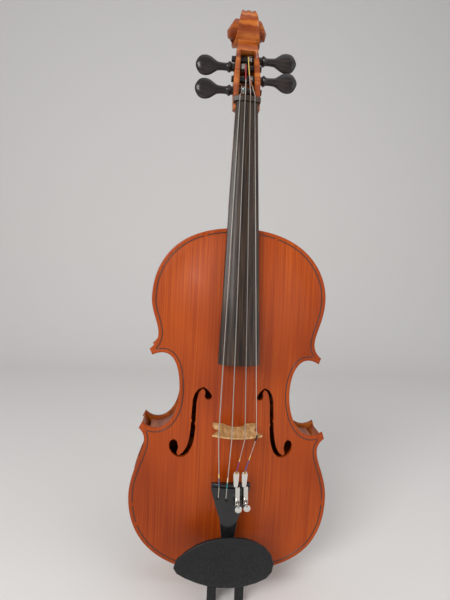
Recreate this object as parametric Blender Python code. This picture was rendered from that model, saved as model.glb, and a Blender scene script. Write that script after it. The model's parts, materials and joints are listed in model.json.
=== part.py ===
"""A viola, modelled as separate pieces. All sizes are millimetres in the body's own frame.

x runs to the treble side, y runs from the belly to the back and z runs up the neck. z = 0 is the
bottom of the body's outline and y = 0 is the outer face of the belly's edge.
"""

import math

import bmesh
import bpy
import numpy as np
from mathutils import Vector
from mathutils.geometry import delaunay_2d_cdt

MM = 0.001
HANGER = Vector((0.0, 36.0, 622.0))
SEAM = 0.2
FIT = 0.3
ARCH_FIT = 0.8

# Body
BODY_LENGTH = 406.5
EDGE = 4.0
BODY_DEPTH = 44.5
OVERHANG = 3.0
RIB = 1.3
CORNER_REACH = 10.0
TOP_ARCH = 17.3
BACK_ARCH = 15.5
BLOCK_HALF_WIDTH = 22.0
BLOCK_LENGTH = 18.0
GRID = 15.0
CURVE_STEPS = 9
# Each side of the outline: handles at the ends, and knots as (x, z, handle one, handle two).
BASS = {
    "top": 78.0, "bottom": 70.5, "upper": (97.5, 324.0, 36.0, 22.5), "waist": (63.0, 218.5, 24.0, 41.5),
    "lower": (117.0, 94.5, 37.5, 60.0), "upper_out": (98.0, 266.5, -20.0, 17.5),
    "upper_in": (95.0, 260.0, -26.5, 12.5), "lower_in": (104.0, 182.0, -14.5, -15.5),
    "lower_out": (107.5, 175.0, -18.5, -17.0),
}
TREBLE = {
    "top": 76.0, "bottom": 72.5, "upper": (102.0, 328.0, 33.0, 33.5), "waist": (65.5, 218.0, 28.0, 33.5),
    "lower": (116.5, 89.0, 37.0, 66.5), "upper_out": (101.0, 260.5, -20.5, 16.5),
    "upper_in": (98.5, 253.5, -21.0, 13.5), "lower_in": (108.0, 171.5, -24.0, -15.5),
    "lower_out": (110.5, 164.0, -20.5, -16.0),
}
# Half width of the arched part of the plates, by height up the body.
ARCH_WIDTH = ((-10, 25), (12, 62), (45, 98), (90, 108), (150, 92), (218, 58), (275, 82), (325, 92), (375, 70),
              (398, 40), (420, 15))
F_HOLE = (
    (25.0, 218.0), (27.5, 221.5), (30.5, 224.3), (34.5, 226.3), (40.3, 222.9), (44.1, 216.9), (46.1, 210.0),
    (46.5, 200.4), (47.1, 188.9), (46.0, 186.6), (47.1, 184.3), (47.5, 176.0), (48.9, 165.3), (51.2, 156.8),
    (55.1, 150.1), (59.7, 146.0), (62.2, 148.2), (60.4, 155.0), (62.0, 161.5), (65.6, 163.9), (69.5, 162.0),
    (71.3, 157.7), (70.6, 151.9), (67.6, 147.6), (63.5, 144.9), (59.6, 144.0), (54.1, 145.0), (49.0, 149.7),
    (45.5, 156.8), (43.2, 165.3), (42.1, 175.9), (41.9, 181.5), (43.0, 183.7), (41.9, 185.9), (41.8, 193.4),
    (41.5, 207.2), (39.7, 217.5), (37.8, 220.9), (34.8, 223.9), (32.6, 222.0), (32.2, 219.0), (32.9, 216.0),
    (31.5, 213.0), (28.8, 212.3), (25.9, 213.5), (24.7, 216.0),
)
BASS_F_SHIFT = 1.3
BUTTON_HALF_WIDTH = 11.0
BUTTON_HEIGHT = 13.0

# Neck, fingerboard and nut
NECK_SLOPE = 0.128
BOARD_EDGE_AT_BODY = -11.5
BOARD_SIDE = 5.5
BOARD_TOP_Z = 547.3
BOARD_END_Z = 258.0
BOARD_HALF_TOP = 12.3
BOARD_HALF_END = 22.5
BOARD_RADIUS = 38.0
NUT_LENGTH = 5.8
NUT_HALF_WIDTH = 15.3
NUT_RISE = 1.4
NECK_BACK = ((406.8, 40.1), (413, 38.8), (421, 31), (430, 19.5), (442, 15.0), (500, 19.5), (540, 24.0), (549, 27.0))
# Pegbox sections: height, front, back, half width
PEGBOX = (
    (541, 11.7, 25.0, 15.2), (554, 13.4, 31.0, 15.4), (580, 17.0, 38.0, 15.2), (600, 21.0, 43.5, 13.4),
    (613, 24.0, 49.0, 12.2), (624, 29.5, 57.5, 11.0), (634, 36.0, 63.5, 9.6), (645, 46.0, 62.0, 8.0),
)
CAVITY_Z = (555.0, 612.0)
CAVITY_HALF = (9.4, 7.9)
CAVITY_FLOOR = 6.0
SCROLL_CENTRE = (42.0, 642.0)
SCROLL_RADIUS = 25.5
SCROLL_PITCH = 9.2
SCROLL_TURNS = 2.0
SCROLL_START = -20.0
SCROLL_STEPS = 16
SCROLL_WIDTH = ((-20, 9.5), (40, 7.4), (90, 6.8), (180, 11.5), (270, 16), (360, 16.5), (450, 15), (540, 18.5),
                (630, 21.8), (720, 23.0))
CHANNEL = 2.2
FLUTE = 1.3
CHAMFER = 1.1

# Pegs: name, head side, y, z, where the winding starts
PEGS = (("c", -1, 21.0, 564.5, -1.0), ("a", 1, 25.0, 579.4, 2.6), ("g", -1, 29.5, 594.5, -1.2),
        ("d", 1, 33.0, 605.5, 1.4))
PEG_SECTIONS = (
    (-17.5, 3.4, 3.4), (15, 4.4, 4.4), (18.2, 4.5, 4.5), (19, 5.8, 5.8), (21, 5.8, 5.8), (22, 4.3, 4.3),
    (33, 4.6, 4.6), (37, 4.6, 7.0), (42, 4.4, 10.2), (48, 4.2, 11.5), (54, 4.2, 9.8), (57.5, 3.2, 5.5), (59, 2, 2),
)
PEG_SIDES = 10

# Strings: name, radius, x at nut, x at bridge, x at tailpiece
STRINGS = (("c", 0.62, -8.8, -20.1, -16.2), ("g", 0.52, -2.9, -6.8, -8.0), ("d", 0.45, 2.9, 6.8, 1.5),
           ("a", 0.36, 8.1, 19.6, 10.5))
WINDING_LOOPS = 3
WINDING_POINTS = 12
WINDING_GAP = 0.5

# Bridge
BRIDGE_Z = 186.0
BRIDGE_HALF_FOOT = 2.5
BRIDGE_HALF_TOP = 0.8
BRIDGE_CROWN = -53.5
BRIDGE_RADIUS = 44.0
BRIDGE_SIDE = ((23.4, -19.5), (22.6, -22.5), (18.0, -26.0), (17.4, -30.0), (20.2, -33.5), (20.6, -37.0), (26.6, -46.0))
BRIDGE_ARCH = ((11.0, -18.5), (8.5, -22.5), (4.5, -25.0), (0.0, -26.0))

# Tailpiece
TAIL_X = -3.0
TAIL_SECTIONS = ((10.5, 6.0), (14, 7.0), (61, 7.4), (84, 10.2), (101, 15.8), (121, 21.3), (128.5, 21.5))
TAIL_SURFACE_LOW = -21.0
TAIL_SLOPE = 0.111
TAIL_CROWN = 4.0
TAIL_THICK = 3.0
FRET_Z = 124.0

# Fine tuners: name, x of the body, x of the lever's lobe, x of the thumb screw
TUNERS = (("d", 3.6, 1.5, 5.0), ("a", 12.6, 10.5, 14.5))
LEVER_Y = -41.5
SCREW_Z = 105.0

# Chin rest
CUP_RIM = (
    (-62, 35), (-59.7, 44), (-50.6, 52.2), (-38.6, 60.1), (-27.2, 64.7), (-14, 67.5), (0, 68.2), (15.3, 67),
    (28.1, 62.9), (38.6, 56.6), (45.1, 48.5), (48.7, 38), (47, 28.1), (41.4, 21.2), (30.5, 16.1), (18, 12.5),
    (3.6, 10.8), (-11.5, 11.6), (-24.2, 13.7), (-36.9, 17.9), (-49.5, 23.5), (-58.5, 29),
)
CUP_CENTRE = (-7.0, 38.0)
CUP_RINGS = ((0.1, -30.5), (0.6, -31.0), (0.96, -33.0), (1.0, -37.0), (0.965, -38.3), (0.9, -37.0), (0.6, -34.6),
             (0.1, -33.2))
CLAMP_X = (-18.5, 12.5)
CLAMP_Z = -6.5


def smooth_steps(knots, value):
    """Catmull-Rom through (place, size) knots."""
    places = [k[0] for k in knots]
    value = min(max(value, places[0]), places[-1])
    i = min(max(int(np.searchsorted(places, value)) - 1, 0), len(knots) - 2)
    span = places[i + 1] - places[i]
    t = (value - places[i]) / span
    before = knots[max(i - 1, 0)]
    after = knots[min(i + 2, len(knots) - 1)]
    start = (knots[i + 1][1] - before[1]) / (places[i + 1] - before[0]) * span
    end = (after[1] - knots[i][1]) / (after[0] - places[i]) * span
    a = 2 * t**3 - 3 * t**2 + 1
    b = t**3 - 2 * t**2 + t
    c = t**3 - t**2
    return a * knots[i][1] + b * start + (1 - a) * knots[i + 1][1] + c * end


def make_collection(name):
    collection = bpy.data.collections.new(name)
    bpy.context.scene.collection.children.link(collection)
    return collection


def make_material(name, colour, roughness, metallic=0.0):
    material = bpy.data.materials.new(name)
    material.use_nodes = True
    shader = material.node_tree.nodes["Principled BSDF"]
    shader.inputs["Base Color"].default_value = (*colour, 1.0)
    shader.inputs["Roughness"].default_value = roughness
    shader.inputs["Metallic"].default_value = metallic
    return material


def make_object(name, points, faces, material, origin=(0, 0, 0), group=None):
    base = Vector(origin)
    mesh = bpy.data.meshes.new(name)
    mesh.from_pydata([(Vector(p) - base) * MM for p in points], [], faces)
    shape = bmesh.new()
    shape.from_mesh(mesh)
    bmesh.ops.remove_doubles(shape, verts=shape.verts, dist=1e-6)
    bmesh.ops.recalc_face_normals(shape, faces=shape.faces)
    shape.to_mesh(mesh)
    shape.free()
    obj = bpy.data.objects.new(name, mesh)
    obj.location = (base - HANGER) * MM
    if material:
        mesh.materials.append(material)
    mesh.shade_smooth()
    mesh.set_sharp_from_angle(angle=math.radians(35))
    (group or PART).objects.link(obj)
    return obj


def loft(name, rings, material, origin=(0, 0, 0), group=None):
    count = len(rings[0])
    points = [p for ring in rings for p in ring]
    faces = []
    for k in range(len(rings) - 1):
        for i in range(count):
            j = (i + 1) % count
            faces.append((k * count + i, k * count + j, (k + 1) * count + j, (k + 1) * count + i))
    faces.append(tuple(range(count)))
    faces.append(tuple((len(rings) - 1) * count + i for i in range(count)))
    return make_object(name, points, faces, material, origin, group)


def prism(name, outline, place, low, high, material, group=None):
    """An outline pushed along one axis: place(u, v, w) gives the point."""
    rings = [[place(u, v, w) for u, v in outline] for w in (low, high)]
    return loft(name, rings, material, group=group)


def box(name, low, high, material, group=None):
    outline = ((low[0], low[1]), (high[0], low[1]), (high[0], high[1]), (low[0], high[1]))
    return prism(name, outline, lambda u, v, w: (u, v, w), low[2], high[2], material, group)


def turned(name, sections, place, material, sides=PEG_SIDES, origin=(0, 0, 0), group=None):
    """Elliptic sections along an axis: place(t, a, b) gives the point."""
    rings = []
    for t, ra, rb in sections:
        turn = [2 * math.pi * i / sides for i in range(sides)]
        rings.append([place(t, ra * math.cos(a), rb * math.sin(a)) for a in turn])
    return loft(name, rings, material, origin, group)


def tube(name, points, radius, material):
    curve = bpy.data.curves.new(name, "CURVE")
    curve.dimensions = "3D"
    curve.bevel_depth = radius * MM
    curve.bevel_resolution = 1
    curve.use_fill_caps = True
    spline = curve.splines.new("POLY")
    spline.points.add(len(points) - 1)
    for knot, p in zip(spline.points, points):
        knot.co = (*(Vector(p) * MM), 1.0)
    obj = bpy.data.objects.new(name, curve)
    obj.location = -HANGER * MM
    curve.materials.append(material)
    PART.objects.link(obj)
    return obj


def boolean(obj, cutter, operation="DIFFERENCE"):
    modifier = obj.modifiers.new(cutter.name, "BOOLEAN")
    modifier.operation = operation
    modifier.object = cutter
    cutter.hide_render = True
    cutter.display_type = "WIRE"


def bezier(a, b, c, d):
    steps = [i / CURVE_STEPS for i in range(CURVE_STEPS + 1)]
    return [
        tuple((1 - t) ** 3 * p + 3 * (1 - t) ** 2 * t * q + 3 * (1 - t) * t * t * r + t**3 * s
              for p, q, r, s in zip(a, b, c, d))
        for t in steps
    ]


def side_curves(side):
    """The three stretches of one side's outline, with x counted outwards."""
    ux, uz, up, down = side["upper"]
    wx, wz, waist_up, waist_down = side["waist"]
    lx, lz, low_up, low_down = side["lower"]

    def tip(key):
        x, z, dx, dz = side[key]
        return (x, z), (x + dx, z + dz)

    out, out_handle = tip("upper_out")
    upper = bezier((0, BODY_LENGTH), (side["top"], BODY_LENGTH), (ux, uz + up), (ux, uz))
    upper += bezier((ux, uz), (ux, uz - down), out_handle, out)[1:]
    start, start_handle = tip("upper_in")
    end, end_handle = tip("lower_in")
    waist = bezier(start, start_handle, (wx, wz + waist_up), (wx, wz))
    waist += bezier((wx, wz), (wx, wz - waist_down), end_handle, end)[1:]
    out, out_handle = tip("lower_out")
    lower = bezier(out, out_handle, (lx, lz + low_up), (lx, lz))
    lower += bezier((lx, lz), (lx, lz - low_down), (side["bottom"], 0), (0, 0))[1:]
    return {"upper": upper, "waist": waist, "lower": lower}


def inset(points, amount):
    """The stretch moved inwards, square to itself."""
    path = np.array(points)
    along = np.gradient(path, axis=0)
    along /= np.linalg.norm(along, axis=1)[:, None]
    return path + amount * np.column_stack([along[:, 1], -along[:, 0]])


def outline(with_button=False):
    right = [p for part in side_curves(TREBLE).values() for p in part]
    left = [(-x, z) for part in side_curves(BASS).values() for x, z in part]
    ring = right + left[::-1][1:-1]
    if not with_button:
        return ring
    shoulder = BUTTON_HALF_WIDTH
    high = BODY_LENGTH + BUTTON_HEIGHT
    keep = [p for p in ring if not (abs(p[0]) < shoulder + 2 and p[1] > BODY_LENGTH - 5)]
    cap = [(-shoulder, BODY_LENGTH), (-shoulder, high - 5), (-shoulder * 0.7, high - 1.2), (0, high),
           (shoulder * 0.7, high - 1.2), (shoulder, high - 5), (shoulder, BODY_LENGTH)]
    return cap + keep


def arch(x, z, height):
    width = smooth_steps(ARCH_WIDTH, z)
    across = min(abs(x) / width, 1.0)
    along = min(abs(z - BODY_LENGTH / 2) / (BODY_LENGTH / 2 - 3), 1.0)
    return height * 0.5 * (1 + math.cos(math.pi * across**1.15)) * (1 - along**2.6)


def top_outer(x, z):
    return -arch(x, z, TOP_ARCH)


def top_inner(x, z):
    return EDGE - arch(x, z, TOP_ARCH)


def back_outer(x, z):
    return BODY_DEPTH + arch(x, z, BACK_ARCH)


def back_inner(x, z):
    return BODY_DEPTH - EDGE + arch(x, z, BACK_ARCH)


def inside(point, ring):
    x, z = point
    hit = False
    for (x1, z1), (x2, z2) in zip(ring, ring[1:] + ring[:1]):
        if (z1 > z) != (z2 > z) and x < (x2 - x1) * (z - z1) / (z2 - z1) + x1:
            hit = not hit
    return hit


def plate(name, ring, holes, outer, inner, material):
    points = []
    edges = []
    for loop in [ring, *holes]:
        first = len(points)
        points += loop
        edges += [(first + i, first + (i + 1) % len(loop)) for i in range(len(loop))]
    border = np.array(points)
    for i in range(int(-120 / GRID), int(120 / GRID) + 1):
        for k in range(int(BODY_LENGTH / GRID) + 2):
            spot = (i * GRID, (k + 0.5 * (i % 2)) * GRID)
            near = np.min(np.hypot(border[:, 0] - spot[0], border[:, 1] - spot[1])) < GRID * 0.42
            if not near and inside(spot, ring) and not any(inside(spot, hole) for hole in holes):
                points.append(spot)
    flat, _, triangles, _, _, _ = delaunay_2d_cdt([Vector(p) for p in points], edges, [], 0, 1e-5)
    kept = []
    for face in triangles:
        middle = sum((flat[i] for i in face), Vector((0, 0))) / 3
        if inside(middle, ring) and not any(inside(middle, hole) for hole in holes):
            kept.append(tuple(face))
    count = len(flat)
    solid = [(p.x, outer(p.x, p.y), p.y) for p in flat] + [(p.x, inner(p.x, p.y), p.y) for p in flat]
    faces = kept + [tuple(i + count for i in reversed(face)) for face in kept]
    used = {(a, b) for face in kept for a, b in zip(face, face[1:] + face[:1])}
    faces += [(a, a + count, b + count, b) for a, b in used if (b, a) not in used]
    return make_object(name, solid, faces, material)


def make_plates():
    treble_f = list(F_HOLE)
    bass_f = [(-x - BASS_F_SHIFT, z) for x, z in F_HOLE]
    plate("top_plate", outline(), [treble_f, bass_f], top_outer, top_inner, SPRUCE)
    plate("back_plate", outline(with_button=True), [], back_outer, back_inner, MAPLE)


def make_ribs():
    low = EDGE + SEAM
    high = BODY_DEPTH - EDGE - SEAM
    for side, sign, shape in (("bass", -1, BASS), ("treble", 1, TREBLE)):
        for stretch, curve in side_curves(shape).items():
            face = inset(curve, OVERHANG)
            back = inset(curve, OVERHANG + RIB)
            if stretch == "waist":
                away = [min(math.dist(p, curve[0]), math.dist(p, curve[-1])) for p in curve]
                keep = [i for i, gap in enumerate(away) if gap > CORNER_REACH]
            else:
                keep = range(len(curve))
            rings = []
            for i in keep:
                fx, bx = (max(face[i][0], 0.15), max(back[i][0], 0.15))
                rings.append([(sign * fx, low, face[i][1]), (sign * fx, high, face[i][1]),
                              (sign * bx, high, back[i][1]), (sign * bx, low, back[i][1])])
            rib = loft(f"rib_{stretch}_{side}", rings, RIB_WOOD)
            if stretch == "lower":
                boolean(rib, button_cutter())


def button_cutter():
    if "button_bore" in bpy.data.objects:
        return bpy.data.objects["button_bore"]
    middle = BODY_DEPTH / 2
    return turned("button_bore", ((-5, 4.6, 4.6), (30, 4.6, 4.6)), lambda t, a, b: (a, middle + b, t), None, 16,
                  group=CUTTERS)


def make_blocks():
    low = EDGE + SEAM
    high = BODY_DEPTH - EDGE - SEAM
    depth = OVERHANG + RIB + FIT
    curves = {"bass": side_curves(BASS), "treble": side_curves(TREBLE)}
    for name, stretch, end in (("neck_block", "upper", 1), ("end_block", "lower", -1)):
        sides = []
        for side, sign in (("treble", 1), ("bass", -1)):
            path = inset(curves[side][stretch], depth)
            near = path[np.abs(path[:, 1] - (BODY_LENGTH if end > 0 else 0)) < BLOCK_HALF_WIDTH]
            near = near[np.argsort(near[:, 0])]
            across = np.linspace(1.0, BLOCK_HALF_WIDTH, 5)
            sides.append([(sign * x, z) for x, z in zip(across, np.interp(across, near[:, 0], near[:, 1]))])
        flat = (BODY_LENGTH - depth - BLOCK_LENGTH) if end > 0 else depth + BLOCK_LENGTH
        ring = [(-BLOCK_HALF_WIDTH, flat)] + sides[1][::-1] + sides[0] + [(BLOCK_HALF_WIDTH, flat)]
        block = prism(name, ring, lambda u, v, w: (u, w, v), low, high, BLOCK_WOOD)
        if end < 0:
            boolean(block, button_cutter())
    for side, sign, shape in (("bass", -1, BASS), ("treble", 1, TREBLE)):
        curve = curves[side]
        for place, bout, flip in (("upper", "upper", 1), ("lower", "lower", -1)):
            one = inset(curve[bout], depth + 0.3)[::-flip]
            two = inset(curve["waist"], depth + 0.3)[::flip]
            tip = shape[place + "_out"][:2]
            a = [p for p in one if 19 < math.dist(p, tip) < 38]
            b = [p for p in two if 19 < math.dist(p, tip) < 38]
            ring = [(sign * x, z) for x, z in a + b[::-1]]
            prism(f"{place}_corner_block_{side}", ring, lambda u, v, w: (u, w, v), low, high, BLOCK_WOOD)


def make_inner_pieces():
    stations = [70, 110, 150, 190, 230, 270, 310, 335]
    rings = []
    for z in stations:
        deep = 11 * math.sin(math.pi * (z - 40) / 325)
        top = max(top_inner(x, z + d) for x in (-22.6, -17.2) for d in (-8, 0, 8)) + ARCH_FIT
        rings.append([(-22.6, top, z), (-17.2, top, z), (-18.5, top + deep, z), (-21.3, top + deep, z)])
    loft("bass_bar", rings, SPRUCE_INNER)
    x, z = (19.5, 178.0)
    front = max(top_inner(x + dx, z + dz) for dx in (-3.2, 3.2) for dz in (-3, 3)) + ARCH_FIT
    rear = min(back_inner(x + dx, z + dz) for dx in (-3.2, 3.2) for dz in (-3, 3)) - ARCH_FIT
    turned("sound_post", ((front, 3, 3), (rear, 3, 3)), lambda t, a, b: (x + a, t, z + b), SPRUCE_INNER, 12)


def board_edge(z):
    return BOARD_EDGE_AT_BODY - NECK_SLOPE * (BODY_LENGTH - z)


def board_half(z):
    share = (BOARD_TOP_Z - z) / (BOARD_TOP_Z - BOARD_END_Z)
    return BOARD_HALF_TOP + (BOARD_HALF_END - BOARD_HALF_TOP) * share


def crown_ring(z, half, edge, under, radius, count=8):
    """A section flat below and curved above."""
    drop = math.sqrt(radius**2 - half**2)
    ring = []
    for i in range(count + 1):
        x = half * (2 * i / count - 1)
        ring.append((x, edge + drop - math.sqrt(radius**2 - x * x), z))
    return ring + [(half, under, z), (-half, under, z)]


def make_board():
    rings = []
    for z in (BOARD_END_Z, (BOARD_END_Z + BODY_LENGTH) / 2, BODY_LENGTH, BOARD_TOP_Z):
        edge = board_edge(z)
        rings.append(crown_ring(z, board_half(z), edge, edge + BOARD_SIDE, BOARD_RADIUS))
    loft("fingerboard", rings, EBONY)
    low = BOARD_TOP_Z + SEAM
    rings = []
    for z in (low, low + NUT_LENGTH):
        edge = board_edge(low) - NUT_RISE + 1.0
        rings.append(crown_ring(z, NUT_HALF_WIDTH, edge, board_edge(z) + BOARD_SIDE, BOARD_RADIUS))
    loft("nut", rings, EBONY)


def nut_top(x):
    edge = board_edge(BOARD_TOP_Z + SEAM) - NUT_RISE + 1.0
    drop = math.sqrt(BOARD_RADIUS**2 - NUT_HALF_WIDTH**2)
    return edge + drop - math.sqrt(BOARD_RADIUS**2 - x * x)


def scroll_half_width(turn):
    return smooth_steps(SCROLL_WIDTH, math.degrees(turn))


def make_scroll():
    """A spiral band that gets smaller and wider turn by turn, both sides, ending in the eye."""
    steps = SCROLL_STEPS
    start = math.radians(SCROLL_START)
    last = int(steps * SCROLL_TURNS)
    points = []
    index = {}

    def put(key, radius, turn, x):
        index[key] = len(points)
        points.append((x, SCROLL_CENTRE[0] + radius * math.cos(turn), SCROLL_CENTRE[1] + radius * math.sin(turn)))

    def radius_at(turn):
        return SCROLL_RADIUS - SCROLL_PITCH * (turn - start) / (2 * math.pi)

    for i in range(last + 1):
        turn = start + 2 * math.pi * i / steps
        radius = radius_at(turn)
        width = scroll_half_width(turn)
        inner = radius_at(turn + 2 * math.pi)
        low = 0.0 if i < steps else scroll_half_width(turn - 2 * math.pi) - CHANNEL
        flute = FLUTE if i < steps else 0.0
        for sign in (1, -1):
            put(("low", i, sign), radius, turn, sign * low)
            put(("flute", i, sign), radius - flute, turn, sign * (low + (width - low) * 0.5))
            put(("rim", i, sign), radius, turn, sign * (width - CHAMFER))
            put(("edge", i, sign), radius - CHAMFER, turn, sign * width)
            put(("floor", i, sign), radius * 0.55 + inner * 0.45, turn, sign * (width - CHANNEL))
    eye_turn = start + 2 * math.pi * SCROLL_TURNS
    for sign in (1, -1):
        put(("eye", 0, sign), 0.0, 0.0, sign * (scroll_half_width(eye_turn) + 0.8))
    faces = []
    for sign in (1, -1):
        for i in range(last):
            for a, b in (("low", "flute"), ("flute", "rim"), ("rim", "edge")):
                faces.append((index[a, i, sign], index[a, i + 1, sign], index[b, i + 1, sign], index[b, i, sign]))
            edge = (index["edge", i, sign], index["edge", i + 1, sign])
            floor = (index["floor", i, sign], index["floor", i + 1, sign])
            if i + 1 <= last - steps:
                foot = (index["low", i + steps, sign], index["low", i + 1 + steps, sign])
                faces.append((*edge, floor[1], floor[0]))
                faces.append((*floor, foot[1], foot[0]))
            else:
                faces.append((*edge, index["eye", 0, sign]))
        seam = last - steps
        fan = [("floor", seam), ("low", last), ("flute", last), ("rim", last), ("edge", last), ("eye", 0)]
        for (a, i), (b, k) in zip(fan, fan[1:]):
            faces.append((index["edge", seam, sign], index[a, i, sign], index[b, k, sign]))
    first = [index[key, 0, 1] for key in ("low", "flute", "rim", "edge", "floor")] + [index["low", steps, 1]]
    other = [index[key, 0, -1] for key in ("flute", "rim", "edge", "floor")] + [index["low", steps, -1]]
    faces.append(tuple(first + other[::-1]))
    faces.append((index["low", steps - 1, 1], index["low", steps, -1], index["low", steps, 1]))
    used = {i for face in faces for i in face}
    slots = {old: new for new, old in enumerate(sorted(used))}
    return [points[i] for i in sorted(used)], [tuple(slots[i] for i in face) for face in faces]


def make_neck():
    rings = []
    for z, rear in NECK_BACK:
        front = board_edge(z) + BOARD_SIDE + SEAM
        half = board_half(min(z, BOARD_TOP_Z)) - 0.1
        deep = rear - front
        shape = ((1.0, 0.0), (1.0, 0.3), (0.86, 0.66), (0.5, 0.93), (0.0, 1.0))
        if z < 425:
            shape = ((1.0, 0.0), (0.93, 0.3), (0.74, 0.7), (0.6, 0.97), (0.0, 1.0))
        right = [(half * a, front + deep * b, z) for a, b in shape]
        rings.append(right + [(-x, y, z) for x, y, z in right[-2::-1]])
    neck = loft("neck", rings, NECK_WOOD)
    rings = [[(-w, f, z), (w, f, z), (w, b - 5, z), (w - 5, b, z), (5 - w, b, z), (-w, b - 5, z)]
             for z, f, b, w in PEGBOX]
    pegbox = loft("pegbox_solid", rings, NECK_WOOD, group=CUTTERS)
    points, faces = make_scroll()
    scroll = make_object("scroll_solid", points, faces, NECK_WOOD, group=CUTTERS)
    tenon = box("heel_tenon", (-BUTTON_HALF_WIDTH + 0.5, EDGE + SEAM + 0.1, BODY_LENGTH - OVERHANG + FIT),
                (BUTTON_HALF_WIDTH - 0.5, BODY_DEPTH - EDGE - 0.4, BODY_LENGTH + 3), NECK_WOOD, CUTTERS)
    for piece in (pegbox, scroll, tenon):
        boolean(neck, piece, "UNION")
    rings = []
    for z, half in zip(CAVITY_Z, CAVITY_HALF):
        rear = smooth_steps([(s[0], s[2]) for s in PEGBOX], z) - CAVITY_FLOOR
        rings.append([(-half, -5, z), (half, -5, z), (half, rear, z), (-half, rear, z)])
    boolean(neck, loft("pegbox_cavity", rings, None, group=CUTTERS))
    for name, sign, y, z, _ in PEGS:
        sections = ((-24, 3.2 + FIT, 3.2 + FIT), (24, 4.6 + FIT, 4.6 + FIT))
        hole = turned(f"peg_hole_{name}", sections, peg_place(sign, y, z), None, 16, group=CUTTERS)
        boolean(neck, hole)


def peg_place(sign, y, z):
    return lambda t, a, b: (sign * t, y + a, z + b)


def make_pegs():
    for name, sign, y, z, _ in PEGS:
        turned(f"peg_{name}", PEG_SECTIONS, peg_place(sign, y, z), PEG_WOOD, origin=(0, y, z))


def bridge_top(x):
    return BRIDGE_CROWN + BRIDGE_RADIUS - math.sqrt(BRIDGE_RADIUS**2 - x * x)


def make_bridge():
    def foot(x):
        return min(top_outer(x, BRIDGE_Z + d) for d in (-3, 0, 3)) - SEAM

    right = [(12.0, foot(12.0)), (18.0, foot(18.0)), (24.4, foot(24.4))]
    right += list(BRIDGE_SIDE)
    right += [(x, bridge_top(x)) for x in (20.0, 13.0, 6.5)]
    left = [(-x, y) for x, y in reversed(right)]
    arch_right = list(BRIDGE_ARCH)
    ring = right + [(0.0, bridge_top(0.0))] + left + [(-x, y) for x, y in arch_right[:-1]] + arch_right[::-1]
    base = foot(18.0)
    rings = []
    for sign in (1, -1):
        face = []
        for x, y in ring:
            share = (y - base) / (BRIDGE_CROWN - base)
            half = BRIDGE_HALF_FOOT + (BRIDGE_HALF_TOP - BRIDGE_HALF_FOOT) * share
            face.append((x, y, BRIDGE_Z + sign * half))
        rings.append(face)
    loft("bridge", rings, BRIDGE_WOOD)


def tail_surface(z):
    return TAIL_SURFACE_LOW - TAIL_SLOPE * (z - TAIL_SECTIONS[0][0])


def tail_top(x, z):
    half = smooth_steps(TAIL_SECTIONS, z)
    rise = TAIL_CROWN * half / TAIL_SECTIONS[-1][1]
    return tail_surface(z) - rise * (1 - min(abs(x - TAIL_X) / half, 1) ** 2)


def make_tailpiece():
    rings = []
    for z, half in TAIL_SECTIONS:
        xs = [half * (i / 4 - 1) + TAIL_X for i in range(9)]
        ring = [(x, tail_top(x, z), z) for x in xs]
        under = tail_surface(z) + TAIL_THICK
        rings.append(ring + [(xs[-1] - 1, under, z), (xs[0] + 1, under, z)])
    loft("tailpiece", rings, TAIL_WOOD)
    rings = []
    for z in (FRET_Z - 0.8, FRET_Z + 0.8):
        xs = [20.5 * (i / 4 - 1) + TAIL_X for i in range(9)]
        top = [(x, tail_top(x, z) - SEAM - 1.3, z) for x in xs]
        rings.append(top + [(x, tail_top(x, z) - SEAM, z) for x in reversed(xs)])
    loft("tailpiece_fret", rings, TAIL_WOOD)


def winding(peg, radius, nut_point):
    """The string's loops on its peg, from the tangent point away to the head side."""
    _, sign, y, z, x_start = peg
    reach = 4.35 + FIT + radius
    dy = nut_point[1] - y
    dz = nut_point[2] - z
    away = math.hypot(dy, dz)
    aim = math.atan2(dz, dy)
    spread = math.acos(reach / away)
    angle, turn = max(((aim + s * spread, s) for s in (1, -1)), key=lambda c: -math.cos(c[0]))
    path = []
    for i in range(WINDING_LOOPS * WINDING_POINTS + 1):
        share = i / WINDING_POINTS
        a = angle + turn * 2 * math.pi * share
        path.append((x_start + sign * (2 * radius + WINDING_GAP) * share, y + reach * math.cos(a), z + reach * math.sin(a)))
    return path


def make_strings():
    pegs = {peg[0]: peg for peg in PEGS}
    lobes = {name: lobe for name, _, lobe, _ in TUNERS}
    for name, radius, x_nut, x_bridge, x_tail in STRINGS:
        nut_low = (x_nut, nut_top(x_nut) - radius - SEAM, BOARD_TOP_Z + 0.5)
        nut_high = (x_nut, nut_low[1], BOARD_TOP_Z + NUT_LENGTH)
        over = (x_bridge, bridge_top(x_bridge) - radius - SEAM - 0.1, BRIDGE_Z)
        loops = winding(pegs[name], radius, nut_high)
        if name in lobes:
            tail = [(lobes[name], LEVER_Y - 0.9, 146.0)]
        else:
            tail = [(x_tail, tail_top(x_tail, FRET_Z) - 1.3 - 2 * SEAM - radius - 0.2, FRET_Z),
                    (x_tail, tail_top(x_tail, 113) - radius - FIT, 113.0)]
        tube(f"string_{name}", loops[::-1] + [nut_high, nut_low, over] + tail, radius, STRING_METAL)
        gap = min(math.dist(loops[i], loops[i + WINDING_POINTS]) for i in range(len(loops) - WINDING_POINTS))
        print(f"string_{name}: least gap between its loops {gap - 2 * radius:.2f} mm")


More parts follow.
